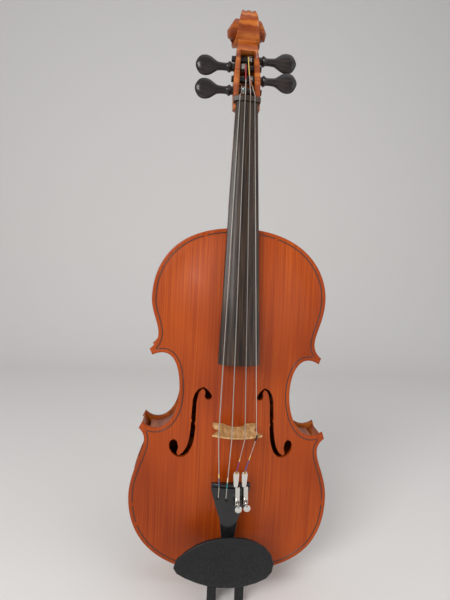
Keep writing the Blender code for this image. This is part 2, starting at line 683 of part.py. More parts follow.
def make_tuners():
    for name, body_x, lobe_x, screw_x in TUNERS:
        low, high = (100.0, 127.5)
        rings = []
        for z in (low, SCREW_Z + 4, high):
            x = body_x + (screw_x - body_x) * (high - z) / (high - low)
            y = min(tail_top(x + d, z) for d in (-3, 0, 3)) - 1.9
            rings.append([(x - 2.2, y - 1.6, z), (x + 2.2, y - 1.6, z), (x + 2.8, y, z), (x - 2.8, y, z)])
        loft(f"tuner_body_{name}", rings, NICKEL)
        rings = []
        for z, half, thick in ((127.9, 2.0, 1.6), (132.0, 2.6, 2.0), (137.0, 3.0, 2.2), (142.0, 3.2, 2.2),
                               (145.0, 2.0, 1.8)):
            rings.append([(lobe_x - half, LEVER_Y + thick, z), (lobe_x + half, LEVER_Y + thick, z),
                          (lobe_x + half, LEVER_Y, z), (lobe_x - half, LEVER_Y, z)])
        loft(f"tuner_lever_{name}", rings, NICKEL, origin=(lobe_x, LEVER_Y + 1.0, 129.0))
        foot = min(tail_top(screw_x + d, SCREW_Z) for d in (-3, 0, 3)) - 3.5 - 2 * FIT
        sections = ((foot, 1.3, 1.3), (foot - 3.0, 1.3, 1.3), (foot - 3.2, 3.6, 3.6), (foot - 6.4, 3.8, 3.8),
                    (foot - 7.2, 2.4, 2.4))
        turned(f"tuner_screw_{name}", sections,
               lambda t, a, b, x=screw_x: (x + a, t, SCREW_Z + b), NICKEL, 12, (screw_x, foot, SCREW_Z))


def make_tail_fittings():
    middle = BODY_DEPTH / 2
    sections = ((22, 4.0, 4.0), (-2.0, 4.1, 4.1), (-5.5, 4.4, 4.4), (-6.2, 8.0, 8.0), (-11.0, 8.4, 8.4),
                (-13.0, 5.0, 5.0))
    turned("end_button", sections, lambda t, a, b: (a, middle + b, t), PEG_WOOD, 14)
    rings = []
    for x in (-18, -9, 0, 9, 18):
        deep = min(top_outer(x, z) for z in (0.6, 7.0, 11.0)) - FIT
        rings.append([(x, deep, 0.6), (x, deep, 7.0), (x, -5.6, 6.0), (x, -5.6, 1.6)])
    loft("saddle", rings, EBONY)
    reach = 5.9
    half = [(-6.3, TAIL_SURFACE_LOW + TAIL_THICK + 1.5, 26.0), (-6.3, TAIL_SURFACE_LOW + TAIL_THICK + 1.5, 12.0),
            (-6.3, -7.6, 5.0), (-6.3, -6.6, 0.0), (-6.2, 0.0, -3.6), (-6.0, middle - 8, -3.8)]
    arc = [(reach * math.cos(a), middle + reach * math.sin(a), -3.8)
           for a in [math.radians(180 - 20 * i) for i in range(0, 10)]]
    right = [(-x, y, z) for x, y, z in half[::-1]]
    right = [(x if z < 5 else x - 2 * 3.0, y, z) for x, y, z in right]
    tube("tailgut", half + arc + right, 0.9, GUT)


def make_chin_rest():
    cx, cz = CUP_CENTRE
    rings = [[(cx + (x - cx) * s, y, cz + (z - cz) * s) for x, z in CUP_RIM] for s, y in CUP_RINGS]
    loft("chinrest_cup", rings, CUP_BLACK)
    rear = back_outer(0, 9.0) + FIT
    for side, x in zip(("bass", "treble"), CLAMP_X):
        sole = min(min(top_outer(x + d, 18.0) for d in (-5.5, 0, 5.5)), -5.6) - FIT
        shape = ((-30.6, -10.0), (-26.5, -10.0), (-26.5, 7.6), (sole, 7.6), (sole, 15.0), (-26.5, 15.0), (-26.5, 25.0), (-30.6, 25.0))
        prism(f"chinrest_support_{side}", shape, lambda u, v, w: (w, u, v), x - 5.0, x + 5.0, CUP_BLACK)
        sections = ((-26.2, 1.6, 1.6), (-14, 1.6, 1.6), (-13.4, 3.6, 3.6), (31, 3.6, 3.6), (31.6, 1.6, 1.6),
                    (rear - FIT, 1.6, 1.6))
        turned(f"clamp_barrel_{side}", sections, lambda t, a, b, x=x: (x + a, t, CLAMP_Z + b), NICKEL, 12,
               (x, 0, CLAMP_Z))
    box("clamp_foot", (CLAMP_X[0] - 5, rear, -10.0), (CLAMP_X[1] + 5, rear + 3, 9.0), CUP_BLACK)


for leftover in list(bpy.data.objects):
    bpy.data.objects.remove(leftover)
PART = make_collection("viola")
CUTTERS = make_collection("cutters")
SPRUCE = make_material("spruce", (0.42, 0.16, 0.045), 0.3)
SPRUCE_INNER = make_material("inner_spruce", (0.6, 0.45, 0.27), 0.7)
MAPLE = make_material("maple", (0.36, 0.12, 0.035), 0.28)
RIB_WOOD = make_material("rib_maple", (0.36, 0.12, 0.035), 0.3)
NECK_WOOD = make_material("neck_maple", (0.4, 0.15, 0.04), 0.3)
BLOCK_WOOD = make_material("block_wood", (0.6, 0.45, 0.28), 0.7)
BRIDGE_WOOD = make_material("bridge_maple", (0.62, 0.4, 0.2), 0.55)
EBONY = make_material("ebony", (0.03, 0.024, 0.02), 0.35)
PEG_WOOD = make_material("peg_wood", (0.05, 0.03, 0.025), 0.3)
TAIL_WOOD = make_material("tailpiece_black", (0.012, 0.012, 0.013), 0.2)
CUP_BLACK = make_material("chinrest_black", (0.02, 0.02, 0.021), 0.5)
NICKEL = make_material("nickel", (0.7, 0.69, 0.66), 0.25, 1.0)
STRING_METAL = make_material("string_metal", (0.6, 0.58, 0.55), 0.35, 1.0)
GUT = make_material("tailgut", (0.02, 0.02, 0.02), 0.5)
make_plates()
make_ribs()
make_blocks()
make_inner_pieces()
make_board()
make_neck()
make_pegs()
make_bridge()
make_tailpiece()
make_strings()
make_tuners()
make_tail_fittings()
make_chin_rest()
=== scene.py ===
"""The viola's looks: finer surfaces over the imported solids, varnish, grain, silks and light."""

import json
import math

import bmesh
import bpy
import numpy as np
from mathutils import Matrix, Vector
from mathutils.geometry import delaunay_2d_cdt

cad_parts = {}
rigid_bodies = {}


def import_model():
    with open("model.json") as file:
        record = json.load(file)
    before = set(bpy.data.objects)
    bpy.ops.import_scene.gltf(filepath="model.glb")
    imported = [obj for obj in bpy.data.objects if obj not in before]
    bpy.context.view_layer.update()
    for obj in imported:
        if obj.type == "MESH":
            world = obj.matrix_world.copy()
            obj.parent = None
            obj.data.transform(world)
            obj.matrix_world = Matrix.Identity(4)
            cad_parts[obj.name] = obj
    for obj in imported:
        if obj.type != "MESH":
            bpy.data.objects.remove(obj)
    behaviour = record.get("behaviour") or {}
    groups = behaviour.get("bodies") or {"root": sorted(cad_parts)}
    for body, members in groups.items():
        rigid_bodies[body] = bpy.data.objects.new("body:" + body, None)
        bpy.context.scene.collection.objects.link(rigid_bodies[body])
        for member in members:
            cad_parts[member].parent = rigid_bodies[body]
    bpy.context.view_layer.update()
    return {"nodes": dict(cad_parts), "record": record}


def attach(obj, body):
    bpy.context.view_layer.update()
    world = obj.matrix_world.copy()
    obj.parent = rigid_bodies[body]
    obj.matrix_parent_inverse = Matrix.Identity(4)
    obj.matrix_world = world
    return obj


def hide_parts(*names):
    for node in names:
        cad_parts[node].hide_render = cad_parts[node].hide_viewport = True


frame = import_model()

MM = 0.001
HANGER = Vector((0.0, 36.0, 622.0))
SEAM = 0.2
FIT = 0.3
SHARP_ANGLE = 35.0

# Body
BODY_LENGTH = 406.5
EDGE = 4.0
BODY_DEPTH = 44.5
OVERHANG = 3.0
RIB = 1.3
CORNER_REACH = 10.0
TOP_ARCH = 17.3
BACK_ARCH = 15.5
GRID = 5.0
GRID_REACH = 120.0
CURVE_STEPS = 26
# Each side of the outline: handles at the ends, and knots as (x, z, handle one, handle two)
BASS = {
    "top": 78.0, "bottom": 70.5,
    "upper": (97.5, 324.0, 36.0, 22.5), "waist": (63.0, 218.5, 24.0, 41.5),
    "lower": (117.0, 94.5, 37.5, 60.0), "upper_out": (98.0, 266.5, -20.0, 17.5),
    "upper_in": (95.0, 260.0, -26.5, 12.5), "lower_in": (104.0, 182.0, -14.5, -15.5),
    "lower_out": (107.5, 175.0, -18.5, -17.0),
}
TREBLE = {
    "top": 76.0, "bottom": 72.5,
    "upper": (102.0, 328.0, 33.0, 33.5), "waist": (65.5, 218.0, 28.0, 33.5),
    "lower": (116.5, 89.0, 37.0, 66.5), "upper_out": (101.0, 260.5, -20.5, 16.5),
    "upper_in": (98.5, 253.5, -21.0, 13.5), "lower_in": (108.0, 171.5, -24.0, -15.5),
    "lower_out": (110.5, 164.0, -20.5, -16.0),
}
# Half width of the arched part of the plates, by height up the body
ARCH_WIDTH = ((-10, 25), (12, 62), (45, 98), (90, 108), (150, 92), (218, 58), (275, 82), (325, 92),
              (375, 70), (398, 40), (420, 15))
F_HOLE = (
    (25.0, 218.0), (27.5, 221.5), (30.5, 224.3), (34.5, 226.3), (40.3, 222.9), (44.1, 216.9),
    (46.1, 210.0), (46.5, 200.4), (47.1, 188.9), (46.0, 186.6), (47.1, 184.3), (47.5, 176.0),
    (48.9, 165.3), (51.2, 156.8), (55.1, 150.1), (59.7, 146.0), (62.2, 148.2), (60.4, 155.0),
    (62.0, 161.5), (65.6, 163.9), (69.5, 162.0), (71.3, 157.7), (70.6, 151.9), (67.6, 147.6),
    (63.5, 144.9), (59.6, 144.0), (54.1, 145.0), (49.0, 149.7), (45.5, 156.8), (43.2, 165.3),
    (42.1, 175.9), (41.9, 181.5), (43.0, 183.7), (41.9, 185.9), (41.8, 193.4), (41.5, 207.2),
    (39.7, 217.5), (37.8, 220.9), (34.8, 223.9), (32.6, 222.0), (32.2, 219.0), (32.9, 216.0),
    (31.5, 213.0), (28.8, 212.3), (25.9, 213.5), (24.7, 216.0),
)
BASS_F_SHIFT = 1.3
BUTTON_HALF_WIDTH = 11.0
BUTTON_HEIGHT = 13.0

# Neck, fingerboard and nut
NECK_SLOPE = 0.128
BOARD_EDGE_AT_BODY = -11.5
BOARD_SIDE = 5.5
BOARD_TOP_Z = 547.3
BOARD_END_Z = 258.0
BOARD_HALF_TOP = 12.3
BOARD_HALF_END = 22.5
BOARD_RADIUS = 38.0
NUT_LENGTH = 5.8
NUT_HALF_WIDTH = 15.3
NUT_RISE = 1.4
NECK_BACK = ((406.8, 40.1), (413, 38.8), (421, 31), (430, 19.5), (442, 15.0), (500, 19.5), (540, 24.0),
             (549, 27.0))
HEEL_TOP = 425.0
NECK_SHAPE = ((1.0, 0.0), (1.0, 0.3), (0.86, 0.66), (0.5, 0.93), (0.0, 1.0))
HEEL_SHAPE = ((1.0, 0.0), (0.93, 0.3), (0.74, 0.7), (0.6, 0.97), (0.0, 1.0))
# Pegbox sections as (z, front, back, half width)
PEGBOX = (
    (541, 11.7, 25.0, 15.2), (554, 13.4, 31.0, 15.4), (580, 17.0, 38.0, 15.2), (600, 21.0, 43.5, 13.4),
    (613, 24.0, 49.0, 12.2), (624, 29.5, 57.5, 11.0), (634, 36.0, 63.5, 9.6), (645, 46.0, 62.0, 8.0),
)
CAVITY_Z = (555.0, 612.0)
CAVITY_HALF = (9.4, 7.9)
CAVITY_FLOOR = 6.0
SCROLL_CENTRE = (42.0, 642.0)
SCROLL_RADIUS = 25.5
SCROLL_PITCH = 9.2
SCROLL_TURNS = 2.0
SCROLL_START = -20.0
SCROLL_STEPS = 48
SCROLL_WIDTH = ((-20, 9.5), (40, 7.4), (90, 6.8), (180, 11.5), (270, 16), (360, 16.5), (450, 15),
                (540, 18.5), (630, 21.8), (720, 23.0))
CHANNEL = 2.2
FLUTE = 1.3
CHAMFER = 1.1
EDGE_ROWS = (0.45, 0.9, 1.9, 3.2, 4.6, 6.2, 8.4)
ROW_SHARE = 0.93

# Pegs as (name, head side, y, z, x where the winding starts)
PEGS = (("c", -1, 21.0, 564.5, -1.0), ("a", 1, 25.0, 579.4, 2.6), ("g", -1, 29.5, 594.5, -1.2),
        ("d", 1, 33.0, 605.5, 1.4))
PEG_SECTIONS = (
    (-17.5, 3.4, 3.4), (15, 4.4, 4.4), (18.2, 4.5, 4.5), (19, 5.8, 5.8), (21, 5.8, 5.8), (22, 4.3, 4.3),
    (33, 4.6, 4.6), (37, 4.6, 7.0), (42, 4.4, 10.2), (48, 4.2, 11.5), (54, 4.2, 9.8), (57.5, 3.2, 5.5),
    (59, 2, 2),
)
PEG_SIDES = 32
PEG_ROWS = 60
PEG_RADIUS = 4.35

# Strings as (name, radius, x at nut, x at bridge, x at tailpiece)
STRINGS = (("c", 0.62, -8.8, -20.1, -16.2), ("g", 0.52, -2.9, -6.8, -8.0),
           ("d", 0.45, 2.9, 6.8, 1.5), ("a", 0.36, 8.1, 19.6, 10.5))

# Bridge
BRIDGE_Z = 186.0
BRIDGE_HALF_FOOT = 2.5
BRIDGE_HALF_TOP = 0.8
BRIDGE_CROWN = -53.5
BRIDGE_RADIUS = 44.0
BRIDGE_SIDE = ((23.4, -19.5), (22.6, -22.5), (18.0, -26.0), (17.4, -30.0), (20.2, -33.5), (20.6, -37.0),
               (26.6, -46.0))
BRIDGE_ARCH = ((11.0, -18.5), (8.5, -22.5), (4.5, -25.0), (0.0, -26.0))

# Tailpiece
TAIL_X = -3.0
TAIL_SECTIONS = ((10.5, 6.0), (14, 7.0), (61, 7.4), (84, 10.2), (101, 15.8), (121, 21.3),
                 (128.5, 21.5))
TAIL_SURFACE_LOW = -21.0
TAIL_SLOPE = 0.111
TAIL_CROWN = 4.0
TAIL_THICK = 3.0
FRET_Z = 124.0
FRET_HALF_WIDTH = 20.5
FRET_HALF_LENGTH = 0.8
FRET_RISE = 1.3

# Fine tuners as (name, x of the body, x of the lever's lobe, x of the thumb screw)
TUNERS = (("d", 3.6, 1.5, 5.0), ("a", 12.6, 10.5, 14.5))
TUNER_Z = (100.0, 127.5)
LEVER_Y = -41.5
LEVER_PIVOT_Z = 129.0
LEVER_SECTIONS = ((127.9, 2.0, 1.6), (132.0, 2.6, 2.0), (137.0, 3.0, 2.2), (142.0, 3.2, 2.2),
                  (145.0, 2.0, 1.8))
SCREW_Z = 105.0

# Chin rest
CUP_RIM = (
    (-62, 35), (-59.7, 44), (-50.6, 52.2), (-38.6, 60.1), (-27.2, 64.7), (-14, 67.5), (0, 68.2),
    (15.3, 67), (28.1, 62.9), (38.6, 56.6), (45.1, 48.5), (48.7, 38), (47, 28.1), (41.4, 21.2),
    (30.5, 16.1), (18, 12.5), (3.6, 10.8), (-11.5, 11.6), (-24.2, 13.7), (-36.9, 17.9), (-49.5, 23.5),
    (-58.5, 29),
)
CUP_CENTRE = (-7.0, 38.0)
CUP_RINGS = ((0.1, -30.5), (0.6, -31.0), (0.96, -33.0), (1.0, -37.0), (0.965, -38.3), (0.9, -37.0),
             (0.6, -34.6), (0.1, -33.2))
CLAMP_X = (-18.5, 12.5)
CLAMP_Z = -6.5
CLAMP_HALF = 5.0
SUPPORT_FRONT = -30.6
SUPPORT_REAR = -26.5

# Purfling, silks and fittings of the tail
PURFLING_INSET = 4.6
PURFLING_HALF = 0.55
PURFLING_THICK = 0.12
PURFLING_SINK = 0.07
PURFLING_SHARE = 0.9
GOLD = (0.62, 0.42, 0.16)
# Silks as (label, string, upper z, lower z, colour)
SILKS = (
    ("c_gold", "c", 143.0, 138.0, GOLD), ("c_slate", "c", 138.0, 127.0, (0.07, 0.1, 0.16)),
    ("g_cream", "g", 139.5, 133.7, (0.7, 0.55, 0.33)), ("g_teal", "g", 133.7, 126.0, (0.03, 0.2, 0.2)),
    ("d_gold", "d", 162.0, 158.5, GOLD), ("d_plum", "d", 158.5, 147.0, (0.2, 0.03, 0.14)),
    ("a_gold", "a", 165.0, 159.6, GOLD), ("a_blue", "a", 159.6, 147.0, (0.04, 0.08, 0.25)),
)
SILK_COVER = 0.16
PEG_SILKS = {"c": (0.03, 0.22, 0.22), "g": (0.4, 0.03, 0.03), "d": (0.65, 0.45, 0.1),
             "a": (0.5, 0.14, 0.03)}
PEG_SILK_COVER = 0.12
PEG_SILK_SPAN = (0.5, 0.98)
PROTECTOR_Z = (188.5, 182.5)
PROTECTOR_RADIUS = 0.85
LEVER_STRING_Z = 146.0
# Key holes as (string, x, z): each is a near-black disk of painted shade, not a cut hole
KEYHOLES = (("c", -16.2, 111.5), ("g", -7.0, 109.9))
KEYHOLE_RADIUS = 2.2
BALL_Z = 144.2
DETAIL_SIDES = 24
SOFT_EDGES = {
    0.5: ("bridge", "tailpiece", "fingerboard", "nut", "chinrest_cup", "clamp_foot", "saddle",
          "chinrest_support_bass", "chinrest_support_treble"),
    0.4: ("tuner_lever_d", "tuner_lever_a", "tuner_body_d", "tuner_body_a"),
}
SOFT_ANGLE = 40.0

# Finishes as (grain, its colours, patches, their colours, roughness, coat, relief): grain and patches
# are features per metre along x, y and z, and each colour has its place on the ramp.
MAPLE_STOPS = ((0.36, (0.20, 0.032, 0.004)), (0.5, (0.34, 0.07, 0.009)), (0.64, (0.56, 0.16, 0.024)))
MAPLE_REST = (MAPLE_STOPS, (9, 9, 7), ((0.3, (0.72, 0.66, 0.6)), (0.7, (1.0, 1.0, 1.0))), 0.36, 0.2, 0.12)
GRAINED = {
    "spruce": ((950, 40, 7),
               ((0.25, (0.24, 0.028, 0.0012)), (0.5, (0.37, 0.052, 0.002)), (0.75, (0.44, 0.075, 0.004))),
               (11, 8, 6),
               ((0.3, (0.66, 0.56, 0.5)), (0.5, (0.93, 0.92, 0.9)), (0.72, (1.15, 1.3, 1.4))),
               0.42, 0.08, 0.12),
    "maple": ((14, 30, 150), *MAPLE_REST),
    "ribs": ((120, 14, 120), *MAPLE_REST),
    "neck": ((18, 18, 170), *MAPLE_REST),
    "bridge": ((260, 60, 420),
               ((0.35, (0.40, 0.21, 0.075)), (0.55, (0.62, 0.38, 0.16)), (0.7, (0.74, 0.50, 0.25))),
               (40, 40, 40), ((0.3, (0.8, 0.75, 0.7)), (0.7, (1.0, 1.0, 1.0))), 0.55, 0.0, 0.3),
    "board": ((900, 120, 10),
              ((0.38, (0.016, 0.011, 0.009)), (0.55, (0.045, 0.027, 0.018)), (0.72, (0.10, 0.06, 0.035))),
              (14, 14, 9), ((0.3, (0.7, 0.7, 0.7)), (0.7, (1.1, 1.05, 1.0))), 0.42, 0.15, 0.2),
    "pegs": ((60, 300, 300), ((0.4, (0.012, 0.009, 0.009)), (0.7, (0.035, 0.024, 0.02))),
             (40, 40, 40), ((0.3, (0.8, 0.8, 0.8)), (0.7, (1.1, 1.1, 1.1))), 0.3, 0.3, 0.08),
    "black": ((200, 200, 200), ((0.4, (0.009, 0.009, 0.01)), (0.6, (0.013, 0.013, 0.014))),
              (30, 30, 30), ((0.3, (0.9, 0.9, 0.9)), (0.7, (1.1, 1.1, 1.1))), 0.2, 0.5, 0.02),
    "cup": ((500, 500, 500), ((0.4, (0.012, 0.012, 0.013)), (0.6, (0.02, 0.02, 0.021))),
            (25, 25, 25), ((0.3, (0.85, 0.85, 0.85)), (0.7, (1.1, 1.1, 1.1))), 0.5, 0.0, 0.05),
    "inner": ((500, 60, 8), ((0.35, (0.38, 0.24, 0.11)), (0.65, (0.58, 0.42, 0.23))),
              (20, 20, 20), ((0.3, (0.85, 0.85, 0.85)), (0.7, (1.0, 1.0, 1.0))), 0.7, 0.0, 0.1),
}
COAT_ROUGHNESS = 0.12
WOOD_SPECULAR = 0.22
BUMP_DISTANCE = 0.0002
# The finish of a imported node, by how its name starts
NODE_LOOKS = (("top_plate", "spruce"), ("back_plate", "maple"), ("rib", "ribs"), ("neck_block", "inner"),
              ("neck", "neck"), ("fingerboard", "board"), ("nut", "board"), ("saddle", "board"),
              ("peg", "pegs"), ("bridge", "bridge"), ("tailpiece", "black"), ("tuner", "nickel"),
              ("clamp_barrel", "nickel"), ("clamp_foot", "cup"), ("chinrest", "cup"),
              ("end_button", "pegs"), ("string", "string"), ("tailgut", "cup"))

# Camera: its place in millimetres of the body, and its turns in degrees
CAMERA_PLACE = (-56.4, -451.0, 355.1)
CAMERA_TURN = (3.79, -5.19, 2.60)
CAMERA_LENS = 24.0
CAMERA_SENSOR = 36.0

# Stage and light, in metres
FLOOR_Z = -0.637
FLOOR_FRONT = -1.6
WALL_Y = 1.5
WALL_BEND = 0.5
WALL_HEIGHT = 3.0
STAGE_HALF = 3.2
BACKDROP = (0.81, 0.785, 0.76)
LIGHT_AIM = (0, 0, -0.3)
# Lights as (name, place, size, power)
LIGHTS = (("key", (-0.75, -1.1, 0.3), 0.7, 15.0), ("fill", (1.2, -0.9, 0.1), 1.4, 7.0),
          ("top", (0.4, -0.3, 1.0), 1.0, 2.5))
SKY = (0.9, 0.92, 0.95, 1.0)
SKY_STRENGTH = 0.42


def smooth_steps(knots, value):
    """Catmull-Rom through (place, size) knots."""
    places = [k[0] for k in knots]
    value = min(max(value, places[0]), places[-1])
    i = min(max(int(np.searchsorted(places, value)) - 1, 0), len(knots) - 2)
    span = places[i + 1] - places[i]
    t = (value - places[i]) / span
    before = knots[max(i - 1, 0)]
    after = knots[min(i + 2, len(knots) - 1)]
    start = (knots[i + 1][1] - before[1]) / (places[i + 1] - before[0]) * span
    end = (after[1] - knots[i][1]) / (after[0] - places[i]) * span
    a = 2 * t**3 - 3 * t**2 + 1
    b = t**3 - 2 * t**2 + t
    c = t**3 - t**2
    return a * knots[i][1] + b * start + (1 - a) * knots[i + 1][1] + c * end


def make_object(name, points, faces, material, origin=(0, 0, 0), group=None):
    """A closed mesh; without a group it is a piece that is shown, and MADE keeps it."""
    base = Vector(origin)
    mesh = bpy.data.meshes.new(name)
    mesh.from_pydata([(Vector(p) - base) * MM for p in points], [], faces)
    shape = bmesh.new()
    shape.from_mesh(mesh)
    bmesh.ops.remove_doubles(shape, verts=shape.verts, dist=1e-6)
    bmesh.ops.recalc_face_normals(shape, faces=shape.faces)
    shape.to_mesh(mesh)
    shape.free()
    obj = bpy.data.objects.new(name if group else "fine_" + name, mesh)
    obj.location = (base - HANGER) * MM
    if material:
        mesh.materials.append(material)
    mesh.shade_smooth()
    mesh.set_sharp_from_angle(angle=math.radians(SHARP_ANGLE))
    (group or PART).objects.link(obj)
    if not group:
        MADE[name] = obj
    return obj


def loft(name, rings, material, origin=(0, 0, 0), group=None):
    count = len(rings[0])
    points = [p for ring in rings for p in ring]
    faces = []
    for k in range(len(rings) - 1):
        for i in range(count):
            j = (i + 1) % count
            faces.append((k * count + i, k * count + j, (k + 1) * count + j, (k + 1) * count + i))
    faces.append(tuple(range(count)))
    faces.append(tuple((len(rings) - 1) * count + i for i in range(count)))
    return make_object(name, points, faces, material, origin, group)


def prism(name, shape, place, low, high, material, group=None):
    """A flat shape pushed along one axis: place(u, v, w) gives the point."""
    rings = [[place(u, v, w) for u, v in shape] for w in (low, high)]
    return loft(name, rings, material, group=group)


def box(name, low, high, material, group=None):
    shape = ((low[0], low[1]), (high[0], low[1]), (high[0], high[1]), (low[0], high[1]))
    return prism(name, shape, lambda u, v, w: (u, v, w), low[2], high[2], material, group)


def turned(name, sections, place, material, sides=PEG_SIDES, origin=(0, 0, 0), group=None):
    """Elliptic sections along an axis: place(t, a, b) gives the point."""
    rings = []
    for t, ra, rb in sections:
        turn = [2 * math.pi * i / sides for i in range(sides)]
        rings.append([place(t, ra * math.cos(a), rb * math.sin(a)) for a in turn])
    return loft(name, rings, material, origin, group)


def boolean(obj, cutter, operation="DIFFERENCE"):
    modifier = obj.modifiers.new(cutter.name, "BOOLEAN")
    modifier.operation = operation
    modifier.object = cutter
    cutter.hide_render = True
    cutter.display_type = "WIRE"


def bezier(a, b, c, d):
    steps = [i / CURVE_STEPS for i in range(CURVE_STEPS + 1)]
    return [
        tuple((1 - t) ** 3 * p + 3 * (1 - t) ** 2 * t * q + 3 * (1 - t) * t * t * r + t**3 * s
              for p, q, r, s in zip(a, b, c, d))
        for t in steps
    ]


def side_curves(side):
    """The three stretches of one side's outline, with x counted outwards."""
    ux, uz, up, down = side["upper"]
    wx, wz, waist_up, waist_down = side["waist"]
    lx, lz, low_up, low_down = side["lower"]

    def tip(key):
        x, z, dx, dz = side[key]
        return (x, z), (x + dx, z + dz)

    out, out_handle = tip("upper_out")
    upper = bezier((0, BODY_LENGTH), (side["top"], BODY_LENGTH), (ux, uz + up), (ux, uz))
    upper += bezier((ux, uz), (ux, uz - down), out_handle, out)[1:]
    start, start_handle = tip("upper_in")
    end, end_handle = tip("lower_in")
    waist = bezier(start, start_handle, (wx, wz + waist_up), (wx, wz))
    waist += bezier((wx, wz), (wx, wz - waist_down), end_handle, end)[1:]
    out, out_handle = tip("lower_out")
    lower = bezier(out, out_handle, (lx, lz + low_up), (lx, lz))
    lower += bezier((lx, lz), (lx, lz - low_down), (side["bottom"], 0), (0, 0))[1:]
    return {"upper": upper, "waist": waist, "lower": lower}


def inset(points, amount):
    """The stretch moved inwards, square to itself."""
    path = np.array(points)
    along = np.gradient(path, axis=0)
    along /= np.linalg.norm(along, axis=1)[:, None]
    return path + amount * np.column_stack([along[:, 1], -along[:, 0]])


def outline(with_button=False):
    right = [p for part in side_curves(TREBLE).values() for p in part]
    left = [(-x, z) for part in side_curves(BASS).values() for x, z in part]
    ring = right + left[::-1][1:-1]
    if not with_button:
        return ring
    shoulder = BUTTON_HALF_WIDTH
    high = BODY_LENGTH + BUTTON_HEIGHT
    keep = [p for p in ring if not (abs(p[0]) < shoulder + 2 and p[1] > BODY_LENGTH - 5)]
    cap = [(-shoulder, BODY_LENGTH), (-shoulder, high - 5), (-shoulder * 0.7, high - 1.2), (0, high),
           (shoulder * 0.7, high - 1.2), (shoulder, high - 5), (shoulder, BODY_LENGTH)]
    return cap + keep


def arch(x, z, height):
    width = smooth_steps(ARCH_WIDTH, z)
    across = min(abs(x) / width, 1.0)
    along = min(abs(z - BODY_LENGTH / 2) / (BODY_LENGTH / 2 - 3), 1.0)
    return height * 0.5 * (1 + math.cos(math.pi * across**1.15)) * (1 - along**2.6)


def edge_lift(gap):
    """The rounded rim and the shallow channel inside it, by distance from the outline."""
    rim = 1.0 * max(0.0, 1.0 - gap / 0.9) ** 2 - 0.35 * math.exp(-((gap - 1.9) / 1.1) ** 2)
    return rim + 0.55 * math.exp(-((gap - 5.4) / 2.4) ** 2)


def top_outer(x, z):
    return -arch(x, z, TOP_ARCH)


def top_inner(x, z):
    return EDGE - arch(x, z, TOP_ARCH)


def back_outer(x, z):
    return BODY_DEPTH + arch(x, z, BACK_ARCH)


def back_inner(x, z):
    return BODY_DEPTH - EDGE + arch(x, z, BACK_ARCH)


def inside(point, ring):
    x, z = point
    hit = False
    for (x1, z1), (x2, z2) in zip(ring, ring[1:] + ring[:1]):
        if (z1 > z) != (z2 > z) and x < (x2 - x1) * (z - z1) / (z2 - z1) + x1:
            hit = not hit
    return hit


def edge_gap(spot, rim):
    """Distance from a spot to the closed outline."""
    near = np.roll(rim, -1, axis=0) - rim
    offset = np.array((spot[0], spot[1])) - rim
    share = np.clip((offset * near).sum(1) / (near * near).sum(1), 0, 1)
    return float(np.min(np.linalg.norm(offset - near * share[:, None], axis=1)))


def inner_row(ring, gap):
    """The closed outline moved inwards."""
    path = np.array(ring)
    along = np.roll(path, -1, axis=0) - np.roll(path, 1, axis=0)
    along /= np.linalg.norm(along, axis=1)[:, None]
    return path + gap * np.column_stack([along[:, 1], -along[:, 0]])


def plate(name, ring, holes, outer, inner, material):
    """A plate between two arched faces, with rows of points near its edge and a grid inside."""
    rim = np.array(ring)

    def in_wood(spot):
        return not any(inside(spot, hole) for hole in holes)

    points = []
    edges = []
    for loop in [ring, *holes]:
        first = len(points)
        points += loop
        edges += [(first + i, first + (i + 1) % len(loop)) for i in range(len(loop))]
    for gap in EDGE_ROWS:
        for spot in inner_row(ring, gap):
            if edge_gap(spot, rim) > gap * ROW_SHARE and in_wood(spot):
                points.append(tuple(spot))
    rows = np.array(points)
    for i in range(int(-GRID_REACH / GRID), int(GRID_REACH / GRID) + 1):
        for k in range(int(BODY_LENGTH / GRID) + 2):
            spot = (i * GRID, (k + 0.5 * (i % 2)) * GRID)
            near = np.min(np.hypot(rows[:, 0] - spot[0], rows[:, 1] - spot[1])) < GRID * 0.5
            if not near and inside(spot, ring) and in_wood(spot):
                points.append(spot)
    flat, _, triangles, *_ = delaunay_2d_cdt([Vector(p) for p in points], edges, [], 0, 1e-5)
    kept = []
    for face in triangles:
        middle = sum((flat[i] for i in face), Vector((0, 0))) / 3
        if inside(middle, ring) and in_wood(middle):
            kept.append(tuple(face))
    count = len(flat)
    sign = 1 if outer(0, BODY_LENGTH / 2) < 0 else -1
    lift = [sign * edge_lift(edge_gap(p, rim)) for p in flat]
    solid = [(p.x, outer(p.x, p.y) + up, p.y) for p, up in zip(flat, lift)]
    solid += [(p.x, inner(p.x, p.y), p.y) for p in flat]
    faces = kept + [tuple(i + count for i in reversed(face)) for face in kept]
    used = {(a, b) for face in kept for a, b in zip(face, face[1:] + face[:1])}
    faces += [(a, a + count, b + count, b) for a, b in used if (b, a) not in used]
    return make_object(name, solid, faces, material)


def make_plates():
    treble_f = list(F_HOLE)
    bass_f = [(-x - BASS_F_SHIFT, z) for x, z in F_HOLE]
    plate("top_plate", outline(), [treble_f, bass_f], top_outer, top_inner, LOOKS["spruce"])
    plate("back_plate", outline(with_button=True), [], back_outer, back_inner, LOOKS["maple"])


